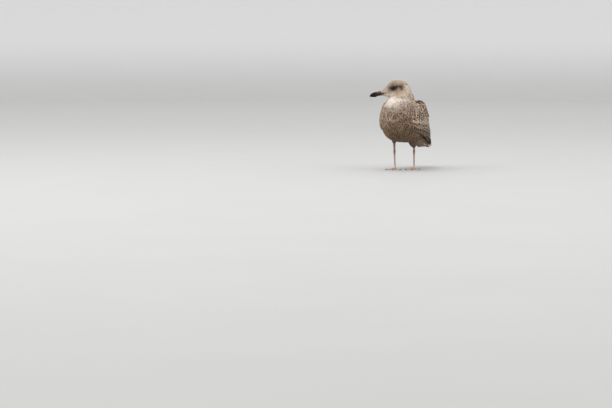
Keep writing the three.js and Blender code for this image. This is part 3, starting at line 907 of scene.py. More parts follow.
def contour_tract(name, u_span, seed):
    """One belt of small feathers round the body, between two stations."""
    dice = np.random.default_rng(seed)
    u, v = scatter(body_surface, u_span, (0, 1), body_sizes, COVER, seed)
    root = body_surface(u, v)
    length, width = body_sizes(u, v, root)
    left_height, _ = height_over(root, wing_shell)
    right_height, _ = height_over(root * [-1, 1, 1], wing_shell)
    s, out, z = head_frame(root)
    clear = (np.minimum(left_height, right_height) > -1.5) | (u < 7)
    off_eye = ((s - BARE_MIDDLE) / BARE_REACH) ** 2 + (z / BARE_RISE) ** 2 > 1
    u, v, length, width, root = keep_rows(clear & off_eye, u, v, length, width, root)
    count = len(u)
    length = length * dice.uniform(0.88, 1.14, count)
    width = width * dice.uniform(0.9, 1.12, count)
    heading = np.sin(2 * np.pi * v) * np.interp(u, *DROOPS) + dice.normal(0, 7, count)
    s, out, z = head_frame(root)
    brow = blob(s, z, (-1, 7.5), (11, 4.5)) * ease(np.abs(out), 8, 14)
    tip = np.interp(u, *TIP_HEIGHTS) + dice.uniform(-0.15, 0.35, count) + 0.9 * brow
    lift = (-np.interp(u, *ROOT_DEPTHS), tip)
    u_limits = (-0.1, BODY_END + 0.3)
    grids, normals = lay(body_surface, u, v, heading, length, width, lift, "contour", u_limits)
    grids = press_sockets(grids)
    if u_span[1] > 7:
        grids = drape_over_wings(grids, rising(grids, -1.2, 0.8))
    tips = grids[:, 3, 1]
    looks = body_looks(tips, u, v, seed + 50)
    thick = np.interp(u, *THICKNESSES)
    obj = feather_mesh(name, grids, normals, looks, unwrapped(u, v), "contour", thick)
    skin_roots.append(tips)
    skin_tones.append(looks["centre"][:, :3])
    print(name, "feathers:", count, "triangles:", count_triangles(obj))
    return obj


face_feathers = contour_tract("feathers_head", (0.03, 6.0), 1)
neck_feathers = contour_tract("feathers_neck", (5.6, 10.0), 2)
breast_feathers = contour_tract("feathers_breast", (9.6, 14.0), 3)
belly_feathers = contour_tract("feathers_belly", (13.6, 17.9), 4)

# %% [markdown]
# ## Mantle and scapulars
# The scapulars are the big shoulder feathers that close the gap between back and folded wing. They
# grow in neat rows, rich brown with rosy buff fringes, so this is where the scaly pattern comes from.
# They lie on the cape, and are draped over body and wings, so that they bridge the groove as real ones do.

# %% Rows and fields of larger feathers
def vane_looks(centre, fringe, streak, fringe_width, bars, strength, seed, spread=0.12):
    """Looks of one tract: a centre tone that varies from feather to feather, and one set of marks."""
    dice = np.random.default_rng(seed)
    count = len(centre)
    vary = np.clip(1 + dice.normal(0, spread, count), 0.6, 1.5)[:, None]
    lighter = np.clip(1 + dice.normal(0, spread * 0.5, count), 0.7, 1.2)[:, None]
    width = np.broadcast_to(fringe_width, count) * dice.uniform(0.85, 1.15, count)
    fringe, streak = np.broadcast_to(fringe, (count, 3)) * lighter, np.broadcast_to(streak, (count, 3))
    return {
        "centre": np.column_stack([centre * vary, width]),
        "fringe": np.column_stack([fringe, np.broadcast_to(bars, count)]),
        "streak": np.column_stack([streak, np.broadcast_to(strength, count)]),
    }


CAPE_LENGTHS = ([0, 1.5, 4, 6.5], [14, 20, 29, 34])
CAPE_EDGE = ([0.3, 1.2, 2.2, 3.5, 5, 6.6], [0.06, 0.1, 0.155, 0.172, 0.145, 0.1])  # turns from the ridge


def cape_sizes(u, v, points):
    """Mantle feathers grow from the neck back, and scapulars also from the middle out."""
    beside = np.abs((v + 0.5) % 1 - 0.5)
    length = np.interp(u, *CAPE_LENGTHS) * (1 + 0.2 * ease(beside, 0.04, 0.12))
    return length, length * 0.66


def cape_tract(name, seed):
    """Mantle and scapulars on the cape, draped over both wings and the body."""
    dice = np.random.default_rng(seed)
    u, v = scatter(cape_surface, (0.35, 6.6), (-0.185, 0.185), cape_sizes, 2.7, seed)
    u, v = keep_rows(np.abs(v) < np.interp(u, *CAPE_EDGE), u, v)
    count = len(u)
    length, width = cape_sizes(u, v, None)
    length, width = length * dice.uniform(0.92, 1.1, count), width * dice.uniform(0.95, 1.1, count)
    heading = np.sign(v) * np.interp(np.abs(v), [0, 0.08, 0.19], [2, 12, 8]) + dice.normal(0, 4, count)
    tip = dice.uniform(1.0, 1.7, count)
    grids, normals = lay(cape_surface, u, v, heading, length, width, (-2.2, tip), "covert", (0, 8), 5, 0.1)
    grids = drape_over_wings(grids, rising(grids, -0.6, 2.2))
    grids = drape(grids, body_shell, rising(grids, -1.6, 1.5))
    tips = grids[:, 4, 2]
    rear = ease(u, 3.6, 6)
    centre = mix(np.broadcast_to(CHESTNUT * 0.72, tips.shape), UMBER * 0.75, 0.3 + 0.5 * rear)
    fringe = mix(ROSE_BUFF, BUFF, 0.35)
    looks = vane_looks(centre, fringe, SOOT, 0.22 - 0.04 * rear, 0.08 + 0.25 * rear, 0.5, seed + 7, 0.16)
    place_on_skin = unwrapped(u + 8, v)
    obj = feather_mesh(name, grids, normals, looks, place_on_skin, "covert", 0.35, patch_size=0.012)
    print(name, "feathers:", count, "triangles:", count_triangles(obj))
    return obj


cape_feathers = cape_tract("feathers_mantle_scapulars", 11)

# %% [markdown]
# ## The folded wings
# Seen from the side, a folded wing is a stack of tracts: small lesser coverts at the bend, one row of
# median coverts, one row of long greater coverts, the edge of the secondaries below, and the big
# tertials behind. Each row is a line of roots on the wing's surface. The right wing is laid with other
# dice and mirrored, so the two sides aren't copies.

# %% Rows of wing feathers: first root, last root, count, lengths, widths, heading, lift, marks
WING_TRACTS = {
    "secondaries": dict(
        first=(1.2, 0.425), last=(5.6, 0.36), count=15, length=(34, 46), width=(15, 17), heading=(4, -2),
        lift=(-2.6, -0.3), centre=SOOT * 1.2, fringe=BUFF, edge=0.12, bars=0.1),
    "lower_edge": dict(
        first=(0.9, 0.455), last=(3.8, 0.47), count=11, length=(22, 28), width=(10, 12), heading=(2, 0),
        lift=(-2.4, -0.4), centre=UMBER, fringe=BUFF, edge=0.25, bars=0.2),
    "greater_coverts": dict(
        first=(0.75, 0.35), last=(5.2, 0.26), count=20, length=(29, 38), width=(14, 16), heading=(12, 6),
        lift=(-2.4, 0.3), centre=UMBER * 0.7, fringe=BUFF, edge=0.17, bars=0.7),
    "median_coverts": dict(
        first=(0.5, 0.305), last=(4.8, 0.21), count=21, length=(24, 29), width=(13, 15), heading=(13, 8),
        lift=(-2.2, 0.8), centre=UMBER * 0.6, fringe=mix(BUFF, CREAM, 0.55), edge=0.28, bars=0.25),
    "tertials": dict(
        first=(4.6, 0.28), last=(4.9, 0.1), count=5, length=(64, 52), width=(27, 25), heading=(1, 5),
        lift=(-2.0, 1.2), centre=SOOT * 1.15, fringe=mix(BUFF, CREAM, 0.5), edge=0.15, bars=0.3),
}


def lesser_sizes(u, v, points):
    """They grow with the way back along the wing, and towards its upper edge."""
    length = np.interp(u, [0, 4], [14, 19]) + 6 * (1 - ease(v, 0.08, 0.24))
    return length, length * 0.7


def wing_patch(u, v):
    """Place of a root on the unwrapped wing."""
    return np.stack([0.02 + 0.96 * (v % 1), 0.02 + 0.96 * np.clip(u / WING_END, 0, 1)], axis=-1)


def wing_row(name, side_name, order):
    """One row of feathers from its first root to its last."""
    tract = WING_TRACTS[name]
    side = SIDES[side_name]
    dice = np.random.default_rng(100 + order * 2 + int(side > 0))
    count = tract["count"]
    share = np.linspace(0, 1, count)

    def along(pair):
        """Even steps from the first value to the last."""
        return np.interp(share, [0, 1], pair)

    u = along([tract["first"][0], tract["last"][0]]) + dice.normal(0, 0.02, count)
    v = along([tract["first"][1], tract["last"][1]]) + dice.normal(0, 0.003, count)
    length = along(tract["length"]) * dice.uniform(0.95, 1.06, count)
    width = along(tract["width"]) * dice.uniform(0.97, 1.05, count)
    heading = along(tract["heading"]) + dice.normal(0, 2.2, count)
    lift = (tract["lift"][0], tract["lift"][1] + dice.uniform(-0.1, 0.25, count))
    grids, normals = lay(wing_surface, u, v, heading, length, width, lift, "covert", (0, 9.9), 7, 0.1)
    centre = np.broadcast_to(tract["centre"], (count, 3))
    looks = vane_looks(centre, tract["fringe"], SOOT, tract["edge"], tract["bars"], 0.5, 200 + order)
    spots = wing_patch(u, v)
    return feather_mesh(f"{name}_{side_name}", grids, normals, looks, spots, "covert", 0.4, side, 0.03)


def lesser_coverts(side_name):
    """The field of small coverts over the bend of the wing."""
    side = SIDES[side_name]
    seed = 21 + int(side > 0)
    dice = np.random.default_rng(seed)
    u, v = scatter(wing_surface, (0.05, 4.9), (0.05, 0.33), lesser_sizes, 2.8, seed)
    clear_of_cape = v > np.interp(u, [0, 1, 2, 4.9], [0.05, 0.06, 0.085, 0.1])
    u, v = keep_rows(clear_of_cape & (v < np.interp(u, [0, 4.9], [0.33, 0.21])), u, v)
    count = len(u)
    length, width = lesser_sizes(u, v, None)
    heading = 14 + dice.normal(0, 5, count)
    lift = (-2.0, 0.8 + dice.uniform(-0.1, 0.4, count))
    length = length * dice.uniform(0.9, 1.1, count)
    grids, normals = lay(wing_surface, u, v, heading, length, width, lift, "covert", (-0.2, 9.9), 5, 0.1)
    tips = grids[:, 4, 2]
    pale_patch = ease(ripple(tips * [side, 1, 1], 34, 77), 0.15, 0.6)
    brown = mix(np.broadcast_to(UMBER * 0.8, tips.shape), CHESTNUT * 0.8, 1 - ease(v, 0.1, 0.2))
    centre = mix(brown, TAUPE * 1.1, 0.6 * pale_patch)
    fringe = mix(BUFF, CREAM, 0.3)
    looks = vane_looks(centre, fringe, SOOT, 0.26 + 0.1 * pale_patch, 0.1, 0.4, seed + 9, 0.2)
    name, spots = f"lesser_coverts_{side_name}", wing_patch(u, v)
    return feather_mesh(name, grids, normals, looks, spots, "covert", 0.3, side, 0.008)


wing_pieces = {}
for side_name in SIDES:
    made = [wing_row(name, side_name, order) for order, name in enumerate(WING_TRACTS)]
    made.append(lesser_coverts(side_name))
    wing_pieces[side_name] = made
    print("wing", side_name, "triangles:", sum(count_triangles(obj) for obj in made))

# %% [markdown]
# ## Primaries and tail
# The long flight feathers are straighter than the body and lie flat on each other, so they don't
# walk over a surface. Each one is a blade: a shaft from root to tip, with a vane to both sides in one
# plane. The shortest primary lies on top, and each longer one shows only its tip. In the tail the
# middle pair is on top and the pairs below it fan out.
#
# Between the folded wings the rump would show a hollow. On a real gull the innermost tertials close it,
# so each side has six blades there, draped over body and wing. Soft barred coverts hide the tail's roots.

# %% Blades
def blades(root, tip, out, width, outline, columns=7, camber=0.08, bow=0.0):
    """Shaft = root + (tip - root) * t + out * bow * 4t(1 - t), and points to both sides of it."""
    shape = OUTLINES[outline]
    share = np.array([pair[0] for pair in shape])
    full = np.array([pair[1] for pair in shape])
    along = unit(tip - root)
    side = unit(np.cross(along, out))
    out = np.cross(side, along)
    shaft = root[:, None] + (tip - root)[:, None] * share[:, None]
    shaft = shaft + out[:, None] * (4 * share * (1 - share))[:, None] * np.reshape(bow, (-1, 1, 1))
    across = np.linspace(-1, 1, columns)
    half = np.reshape(width, (-1, 1, 1)) / 2 * full[None, :, None] * across[None, None]
    grid = shaft[:, :, None] + side[:, None, None] * half[..., None]
    grid = grid - out[:, None, None] * (camber * np.abs(half) * np.abs(across))[..., None]
    return grid, np.broadcast_to(out[:, None], shaft.shape).copy()


def station_axes(rows, u):
    """Each station at u as a whole row, with its directions up and left."""
    row = between(rows, u)
    _, up, left = axes(row[:, 3], row[:, 4], row[:, 9])
    return row, up, left


def stacked_spots(count):
    """Places on the sheet for a few big vanes, one above the other up its middle."""
    return np.stack([np.full(count, 0.5), (np.arange(count) + 0.5) / count], axis=-1)


# %% Primaries: stations of tips and roots on the wing, and widths in mm, top feather first
PRIMARY_TIPS = np.array([8.15, 8.55, 8.95, 9.35, 9.7, 9.97])
PRIMARY_ROOTS = np.array([5.4, 5.5, 5.6, 5.7, 5.8, 5.9])
PRIMARY_WIDTHS = np.array([24, 23.5, 23, 22, 21, 19])
FACES = ((1.0, 0.6, 0.0), (-1.0, 0.25, 0.6))  # outer or inner face, share of a layer at the tip, drop


def primaries(side_name, seed):
    """Six blades on the outer face and six on the inner, from top to bottom of the stack."""
    dice = np.random.default_rng(seed)
    spread = (2.5 - np.arange(len(PRIMARY_TIPS)))[:, None]
    layer = spread * 0.55
    ends, end_up, end_left = station_axes(WING_ROWS, PRIMARY_TIPS)
    starts, start_up, start_left = station_axes(WING_ROWS, PRIMARY_ROOTS)
    parts = []
    for face, tip_layer, drop in FACES:
        outward_end = face * ends[:, 5:6] * 0.55 + layer * tip_layer
        outward_start = face * starts[:, 5:6] * 0.86 + layer
        root = starts[:, :3] + start_left * outward_start + start_up * (spread * 5 - 3)
        tip = ends[:, :3] + end_left * outward_end + end_up * (spread * 1.6 - drop)
        out = unit(start_left + end_left) * face
        width = PRIMARY_WIDTHS * dice.uniform(0.97, 1.03, len(PRIMARY_WIDTHS))
        parts.append(blades(root, tip, out, width, "quill", 7, 0.1, 0.8))
    grids, normals = (np.concatenate(part) for part in zip(*parts))
    centre = np.repeat([UMBER * 0.55, UMBER * 0.75], len(PRIMARY_TIPS), axis=0)
    looks = vane_looks(centre, BUFF * 0.8, SOOT, 0.13, 0.0, 0.3, seed, 0.14)
    name, spots = f"primaries_{side_name}_vanes", stacked_spots(len(grids))
    return feather_mesh(name, grids, normals, looks, spots, "quill", 0.45, SIDES[side_name], 0.07)


# %% Tail and its coverts
TAIL_WIDTHS = [22, 21.5, 21, 20.5, 20, 19.5]  # from the middle pair out


def tail_vanes(seed):
    """Twelve blades: rank 0 is the middle pair on top, rank 5 the outer pair at the bottom."""
    rank = np.tile(np.arange(6), 2)
    hand = np.repeat([1.0, -1.0], 6)
    root = np.stack([hand * (1.2 + 1.6 * rank), 140 + 0 * rank, 128.0 - 0.35 * rank], axis=-1)
    tip = np.stack([hand * (1.6 + 2.85 * rank), 247 - 0.7 * rank, 73.0 - 0.42 * rank], axis=-1)
    out = unit(np.stack([hand * 0.05 * rank, 0.46 + 0 * rank, 0.89 + 0 * rank], axis=-1))
    grids, normals = blades(root, tip, out, np.tile(TAIL_WIDTHS, 2), "rectrix", 7, 0.06, 0.6)
    grids[6:, :, :, 2] -= 0.22
    centre = np.tile(SOOT, (len(grids), 1))
    looks = vane_looks(centre, BUFF, SOOT, 0.08, 0.25, 0.3, seed, 0.08)
    spots = stacked_spots(len(grids))
    return feather_mesh("tail_vanes", grids, normals, looks, spots, "rectrix", 0.45, 1.0, 0.08)


def tail_surface(u, v):
    """The loft of the folded tail, which its coverts lie on."""
    return loft(TAIL_ROWS, u, v)


def covert_sizes(u, v, points):
    """Tail coverts grow longer towards the tail's end."""
    length = np.interp(u, [0, 2], [26, 34])
    return length, length * 0.5


def tail_coverts(seed):
    """Soft barred feathers over the roots of the tail, above and below it."""
    dice = np.random.default_rng(seed)
    u, v = scatter(tail_surface, (0.02, 1.8), (0, 1), covert_sizes, 5.0, seed)
    count = len(u)
    length, width = covert_sizes(u, v, None)
    length = length * dice.uniform(0.9, 1.1, count)
    heading = dice.normal(0, 5, count)
    lift = (-1.0, 0.9 + dice.uniform(-0.2, 0.5, count))
    grids, normals = lay(tail_surface, u, v, heading, length, width, lift, "contour", (0, 3.9), 5, 0.06)
    centre = np.broadcast_to(UMBER * 0.8, (count, 3))
    looks = vane_looks(centre, BUFF, SOOT, 0.24, 0.7, 0.3, seed + 1, 0.22)
    spots = np.stack([0.02 + 0.96 * v, 0.02 + 0.24 * u], axis=-1)
    return feather_mesh("tail_coverts", grids, normals, looks, spots, "contour", 0.3, 1.0, 0.02)


# %% Inner tertials: roots and tips of the first and last blade, in mm
RUMP_BLADES = 6
RUMP_ROOTS = np.array([[30, 92, 200], [35, 112, 186]])
RUMP_TIPS = np.array([[9, 160, 146], [15, 206, 117]])


def inner_tertials(side_name, seed):
    """Broad blades from the wing's upper edge in over the rump, draped over body and wing."""
    dice = np.random.default_rng(seed)
    share = np.linspace(0, 1, RUMP_BLADES)[:, None]
    root = RUMP_ROOTS[0] * (1 - share) + RUMP_ROOTS[1] * share
    tip = RUMP_TIPS[0] * (1 - share) + RUMP_TIPS[1] * share
    root, tip = root + dice.normal(0, 0.7, root.shape), tip + dice.normal(0, 1.0, tip.shape)
    out = np.broadcast_to(unit(np.array([0.16, 0.45, 0.88])), root.shape)
    width = 27 * dice.uniform(0.95, 1.05, len(root))
    grids, normals = blades(root, tip, out, width, "covert", 7, 0.06, 1.5)
    grids = grids - normals[:, :, None] * np.linspace(0, 3.0, RUMP_BLADES)[:, None, None, None]
    clearance = rising(grids, -0.5, 1.6)
    grids = drape(drape(grids, wing_shell, clearance), body_shell, clearance)
    centre = np.broadcast_to(SOOT * 1.15, (len(root), 3))
    looks = vane_looks(centre, BUFF, SOOT, 0.12, 0.08, 0.4, seed, 0.12)
    name, spots = f"inner_tertials_{side_name}", stacked_spots(RUMP_BLADES)
    return feather_mesh(name, grids, normals, looks, spots, "covert", 0.4, SIDES[side_name], 0.08)


primary_pieces = {name: primaries(name, 31 + k) for k, name in enumerate(SIDES)}
inner_pieces = {name: inner_tertials(name, 61 + k) for k, name in enumerate(SIDES)}
tail_piece = tail_vanes(41)
tail_covert_piece = tail_coverts(43)
print("tail covert triangles:", count_triangles(tail_covert_piece))
print("primary triangles:", sum(map(count_triangles, primary_pieces.values())))
print("tail triangles:", count_triangles(tail_piece))

# %% [markdown]
# ## Thighs
# The thigh feathers hang like loose breeches over the top of each leg. They point down, the other way
# along the limb, so they are laid with a heading of half a turn.

# %% Thigh feathers
def thigh_tract(name, seed):
    """Small feathers that hang down the thigh, but for those hidden in the body or under a wing."""
    dice = np.random.default_rng(seed)
    rows = limb_rows(thigh_points(name))

    def surface(u, v):
        """The loft of the thigh."""
        return loft(rows, u, v)

    def sizes(u, v, points):
        """Short and narrow at the cuff, longer and broader above."""
        length = np.interp(u, [0, 1.5, 4], [9, 12, 16])
        return length, length * np.interp(u, [0, 1.5], [0.34, 0.5])

    u, v = scatter(surface, (0.0, 4.0), (0, 1), sizes, 4.5, seed)
    root = surface(u, v)
    over_body, _ = height_over(root, body_shell)
    over_wing, _ = height_over(root * [SIDES[name], 1, 1], wing_shell)
    u, v, root = keep_rows((over_body > -4) & (over_wing > -2), u, v, root)
    count = len(u)
    length, width = sizes(u, v, None)
    length = length * dice.uniform(0.85, 1.15, count)
    heading = 180 + dice.normal(0, 9, count)
    lift = (-1.8, np.interp(u, [0, 1.5], [0.1, 0.5]) + dice.uniform(-0.2, 0.5, count))
    grids, normals = lay(surface, u, v, heading, length, width, lift, "contour", (-0.6, 4.2))
    hangs = grids[:, 0, 1, 2] - grids[:, -1, 1, 2] > 0.4 * length
    grids, normals, u, v = keep_rows(hangs, grids, normals, u, v)
    count = len(u)
    tips = grids[:, 3, 1]
    patch = ripple(tips, 20, 6)
    centre = mix(np.broadcast_to(UMBER * 0.85, tips.shape), OLIVE, 0.45 + 0.4 * patch)
    looks = vane_looks(centre, TAUPE * 0.85, SOOT, 0.2, 0.2, 0.5, seed + 3, 0.2)
    obj = feather_mesh(f"feathers_thigh_{name}", grids, normals, looks, unwrapped(u * 4, v), "contour", 0.25)
    skin_roots.append(tips)
    skin_tones.append(looks["centre"][:, :3])
    print(obj.name, "feathers:", count)
    return obj


thigh_pieces = {name: thigh_tract(name, 51 + k) for k, name in enumerate(SIDES)}

# %% [markdown]
# ## The skin takes the feathers' colours
# Each point of the skin looks for the nearest feather and takes its centre tone. So where feathers
# part, what shows between them can never be the wrong colour.

# %% Skin colours and its own sheet
points, normals = mesh_points(skin)
roots, tones = np.concatenate(skin_roots), np.concatenate(skin_tones)
skin_tint = tones[nearest(points, roots)] * 0.88
side_height, _ = height_over(points * np.where(points[:, :1] < 0, [-1, 1, 1], [1, 1, 1]), wing_shell)
on_wing = ease(side_height, -8, -4) * ease(points[:, 1], -70, -50)
tail_end = ease(points[:, 1], 150, 185)
skin_tint = mix(skin_tint, UMBER * 0.7, on_wing * ease(np.abs(points[:, 0]), 30, 45))
skin_tint = mix(skin_tint, UMBER * 0.8, tail_end)
add_colour(skin, "centre", np.column_stack([skin_tint, np.ones(len(points))]))
print("skin points coloured:", len(points))

# %% [markdown]
# ## Eyes and lids
# A gull's eye bulges a little from the side of the head, with a dark brown iris and a clear cornea. A
# plain ball would look glassy and dead, so the cornea has its own bulge, and a ring of bare lid hugs
# the ball.

# %% Eyes
BALL_RADIUS = 6.95
CORNEA_RISE = 0.4
CORNEA_SPREAD = 0.42  # angle from the axis, in radians, where the cornea has nearly met the ball
EYE_AHEAD = 0.14  # how far the eye looks forward, in radians


def eye_axis(side):
    """Straight out of the side of the head, turned a little forward."""
    sideways = HEAD_LEFT * side * np.cos(EYE_AHEAD)
    return unit(sideways - HEAD_BACK * np.sin(EYE_AHEAD) + np.array([0, 0, 0.03]))


def axis_frame(axis):
    """Two directions square to an axis: forward along the head, and up."""
    forward = -HEAD_BACK
    forward = unit(forward - axis * dot(forward, axis))
    return forward, np.cross(axis, forward) * np.sign(np.cross(axis, forward)[2])


def eyeball(name):
    """Radius = ball + cornea * exp(-(angle / spread)^2), on circles of equal angle from the axis."""
    side = SIDES[name]
    axis = eye_axis(side)
    forward, up = axis_frame(axis)
    angle = np.linspace(0.02, np.pi - 0.02, 40)[:, None]
    round_angle = 2 * np.pi * np.arange(40)[None] / 40
    radius = BALL_RADIUS + CORNEA_RISE * np.exp(-((angle / CORNEA_SPREAD) ** 2))
    ring = np.cos(round_angle)[..., None] * forward + np.sin(round_angle)[..., None] * up
    ring = ring * (radius * np.sin(angle))[..., None]
    grid = head_point(0, side * EYE_OUT, 0) + ring + axis * (radius * np.cos(angle))[..., None]
    flip = dot(np.cross(forward, up), axis) > 0
    points, faces = closed_tube(grid)
    if flip:
        faces = [group[:, ::-1] for group in faces]
    obj = make_mesh(f"eyeball_{name}", points, faces)
    reach = np.concatenate([np.broadcast_to(radius * np.sin(angle), (40, 40)).ravel(), [0, 0]])
    behind = np.concatenate([np.broadcast_to(angle > 1.5, (40, 40)).ravel(), [False, True]])
    add_number(obj, "from_axis", np.where(behind, 7.0, reach))
    return obj


LID_OPENING = np.radians(44.0)  # angle from the axis at the lid's rim
LID_REACH = np.radians(10.5)
LID_RADIUS = 7.12
LID_SWELL = 0.55


def lid(name):
    """A flat ring on the eyeball: angle = opening + reach (1 + cos b), radius = lid + swell * sin b.

    The opening is a little wider than it is high, the upper rim droops, and the rest is wrinkles."""
    side = SIDES[name]
    axis = eye_axis(side)
    forward, up = axis_frame(axis)
    a = 2 * np.pi * np.arange(72)[:, None] / 72
    b = 2 * np.pi * np.arange(14)[None] / 14
    wider = np.radians(3.0) * np.cos(2 * a)
    droop = np.radians(2.5) * np.exp(-(((a - 1.6) / 0.8) ** 2))
    opening = LID_OPENING + wider - droop
    angle = opening + LID_REACH + LID_REACH * np.cos(b)
    wrinkle = 0.06 * np.sin(24 * a) * np.cos(b)
    radius = LID_RADIUS + LID_SWELL * np.sin(b) + wrinkle - 0.35 * (angle - opening) / LID_REACH
    ring = np.cos(a)[..., None] * forward + np.sin(a)[..., None] * up
    grid = ring * (radius * np.sin(angle))[..., None] + axis * (radius * np.cos(angle))[..., None]
    grid = grid + head_point(0, side * EYE_OUT, 0)
    rows, columns = grid.shape[:2]
    index = np.arange(rows * columns).reshape(rows, columns)
    down, after = np.roll(index, -1, axis=0), np.roll(index, -1, axis=1)
    faces = np.stack([index, after, np.roll(down, -1, axis=1), down], axis=-1).reshape(-1, 4)
    middle = grid.mean(axis=1, keepdims=True)
    corner = grid.reshape(-1, 3)[faces[0]]
    normal = np.cross(corner[1] - corner[0], corner[3] - corner[0])
    if dot(normal, corner[0] - middle[0, 0]) < 0:
        faces = faces[:, ::-1]
    return make_mesh(f"lid_{name}", grid.reshape(-1, 3), [faces])


eye_pieces = {name: eyeball(name) for name in SIDES}
lid_pieces = {name: lid(name) for name in SIDES}
print("eye and lid made for:", list(eye_pieces))

# %% [markdown]
# ## The bill
# Two horny sheaths meet along the cutting edge. The upper one has a ridge, a slit of a nostril on
# each side and a hook that closes over the lower tip; the lower one has the gonys, an angle near its tip.
# A loft gives the sheath, and a groove is pressed in along its normals for the nostril.

# %% Bill
# Each row is forward, up, pitch, half width, rise and drop. Each sheath begins inside the face, and the
# upper one closes over the lower.
BILL_UPPER = [
    (37, -20.1, -5, 6.2, 10, 1.2),
    (42.8, -20.6, -5, 7, 11.8, 1.2),
    (50, -21.3, -7, 5.6, 11.3, 1.3),
    (58, -22.3, -8, 4.7, 10.2, 1.4),
    (66, -23.5, -9, 4.2, 9.4, 1.5),
    (72.5, -24.7, -14, 3.3, 7.8, 2.1),
    (77.8, -26.6, -28, 2.4, 5.2, 2.4),
    (80.6, -28.8, -46, 1.5, 2.8, 1.5),
    (81.8, -30.8, -62, 0.6, 0.9, 0.6),
]
BILL_LOWER = [
    (37, -21.1, -5, 5.8, 0.2, 3.0),
    (42.8, -21.6, -5, 6.6, 0.2, 3.8),
    (52, -22.6, -7, 5, 0.2, 4.3),
    (60, -23.7, -8, 4.3, 0.2, 6),
    (64.5, -24.5, -9, 4, 0.2, 6.8),
    (70, -25.7, -12, 3.3, 0.2, 5.6),
    (75, -27.5, -16, 2.2, 0.2, 3.6),
    (78.4, -29.4, -22, 1, 0.2, 1.6),
]


CUTTING_EDGE = ([42.8, 58, 66, 76], [-21.1, -22.8, -24.2, -27.2])  # forward, and height there
NOSTRIL = (57.5, -17.6)


def bill_sheath(name, stations):
    """The loft of one sheath, read backwards so that its faces point out, with the nostril pressed in."""
    rows = [head_row(*station) for station in stations]
    u = np.linspace(0, len(rows) - 1, 90)
    sides = 48
    v = np.arange(sides) / sides
    grid = loft(rows, u[:, None], v[None])
    middle = between(rows, u)[:, None, :3]
    s, out, z = head_frame(grid)
    slit = blob(s, z + 0.12 * (s - NOSTRIL[0]), NOSTRIL, (3.4, 0.75))
    groove = blob(s, z, (54, -17.2), (9, 2.0))
    press = (0.95 * slit + 0.25 * groove) * ease(np.abs(out), 1.8, 3.0) * (1 if name == "upper" else 0)
    grid = grid - unit(grid - middle) * press[..., None]
    points, faces = closed_tube(grid[:, ::-1])
    obj = make_mesh(f"bill_{name}_sheath", points, faces)
    s, out, z = head_frame(points)
    edge_height = np.interp(s, *CUTTING_EDGE)
    add_number(obj, "forward", s)
    add_number(obj, "from_edge", np.abs(z - edge_height))
    press = np.concatenate([press[:, ::-1].ravel(), [0, 0]])
    add_number(obj, "pressed", press)
    return obj


bill_pieces = {
    "bill_upper": bill_sheath("upper", BILL_UPPER),
    "bill_lower": bill_sheath("lower", BILL_LOWER),
}
print("bill triangles:", sum(map(count_triangles, bill_pieces.values())))

# %% [markdown]
# ## Legs, feet and claws
# Now the limb helper earns its keep: shank, hock, lower leg, toes, webs and heel are tubes and one thin
# plate, fused with a fine voxel. Points below the ground are lifted to it, so the soles are flat. For
# each point we keep how far along the limb it lies, and the material draws the scutes from that.

# %% Foot parts
TOES = {"inner": (-36, 40), "middle": (0, 50), "outer": (34, 46)}  # turn in degrees, length in mm
TOE_RADIUS = 2.7
TOE_RISE = 2.6  # how much higher a toe's middle line lies at its root
CLAW_LENGTH = 7.5
CLAW_RADIUS = 1.7
HIND_TOE_LENGTH = 9
WEB_THICKNESS = 1.3
WEB_SHARE = 0.93  # how far along each toe the web reaches
CLAW_GAP = 0.3


def toe_points(length):
    """A toe that tapers by a third and swells at its joints."""
    t = np.linspace(0, 1, 21)
    radius = TOE_RADIUS * (1 - 0.34 * t) * (1 + 0.1 * np.cos(6 * np.pi * t)) * np.where(t == 1, 0.6, 1)
    rise = TOE_RISE * (1 - t) ** 2
    height = 1.6 - 0.4 * t + rise
    return np.stack([0 * t, 4 - (length + 4) * t, height, radius, radius + 0.8 * rise], axis=-1)


def moved(tube, change):
    """A closed shell with its points changed by a function."""
    points, faces = tube
    return change(points), faces


def web_plate(side):
    """A plate from the heel to the toe tips; its front edge hangs back in a bow between the toes."""
    toes = [(turn * side, np.array([[0, -length * WEB_SHARE, 0]])) for turn, length in TOES.values()]
    tips = [turned(end, turn)[0, :2] for turn, end in toes]
    t = np.linspace(0, 1, 13)[:, None]
    bows = [(1 - t) ** 2 * a + 2 * t * (1 - t) * (a + b) * 0.45 + t**2 * b for a, b in zip(tips, tips[1:])]
    edge = np.concatenate([[[0, 3]], bows[0], bows[1][1:]])
    edge = edge if side < 0 else edge[::-1]
    count = len(edge)
    low = np.column_stack([edge, np.full(count, -1.0)])
    high = np.column_stack([edge, np.full(count, WEB_THICKNESS)])
    start = np.arange(count)
    after = np.roll(start, -1)
    wall = np.stack([start, after, after + count, start + count], axis=-1)
    heel = 0 if side < 0 else count - 1
    ring = np.roll(start, -heel)[1:]
    fan = np.stack([np.full(count - 2, heel), ring[:-1], ring[1:]], axis=-1)
    return np.concatenate([low, high]), [wall, fan[:, ::-1], fan + count]


# %% Whole legs
LEG_PINK = tone(178, 147, 134)
LEG_PALE = tone(220, 189, 175)
LEG_WEB = tone(218, 178, 160)
LEG_DUSK = tone(104, 80, 70)
LEG_VOXEL = 0.62


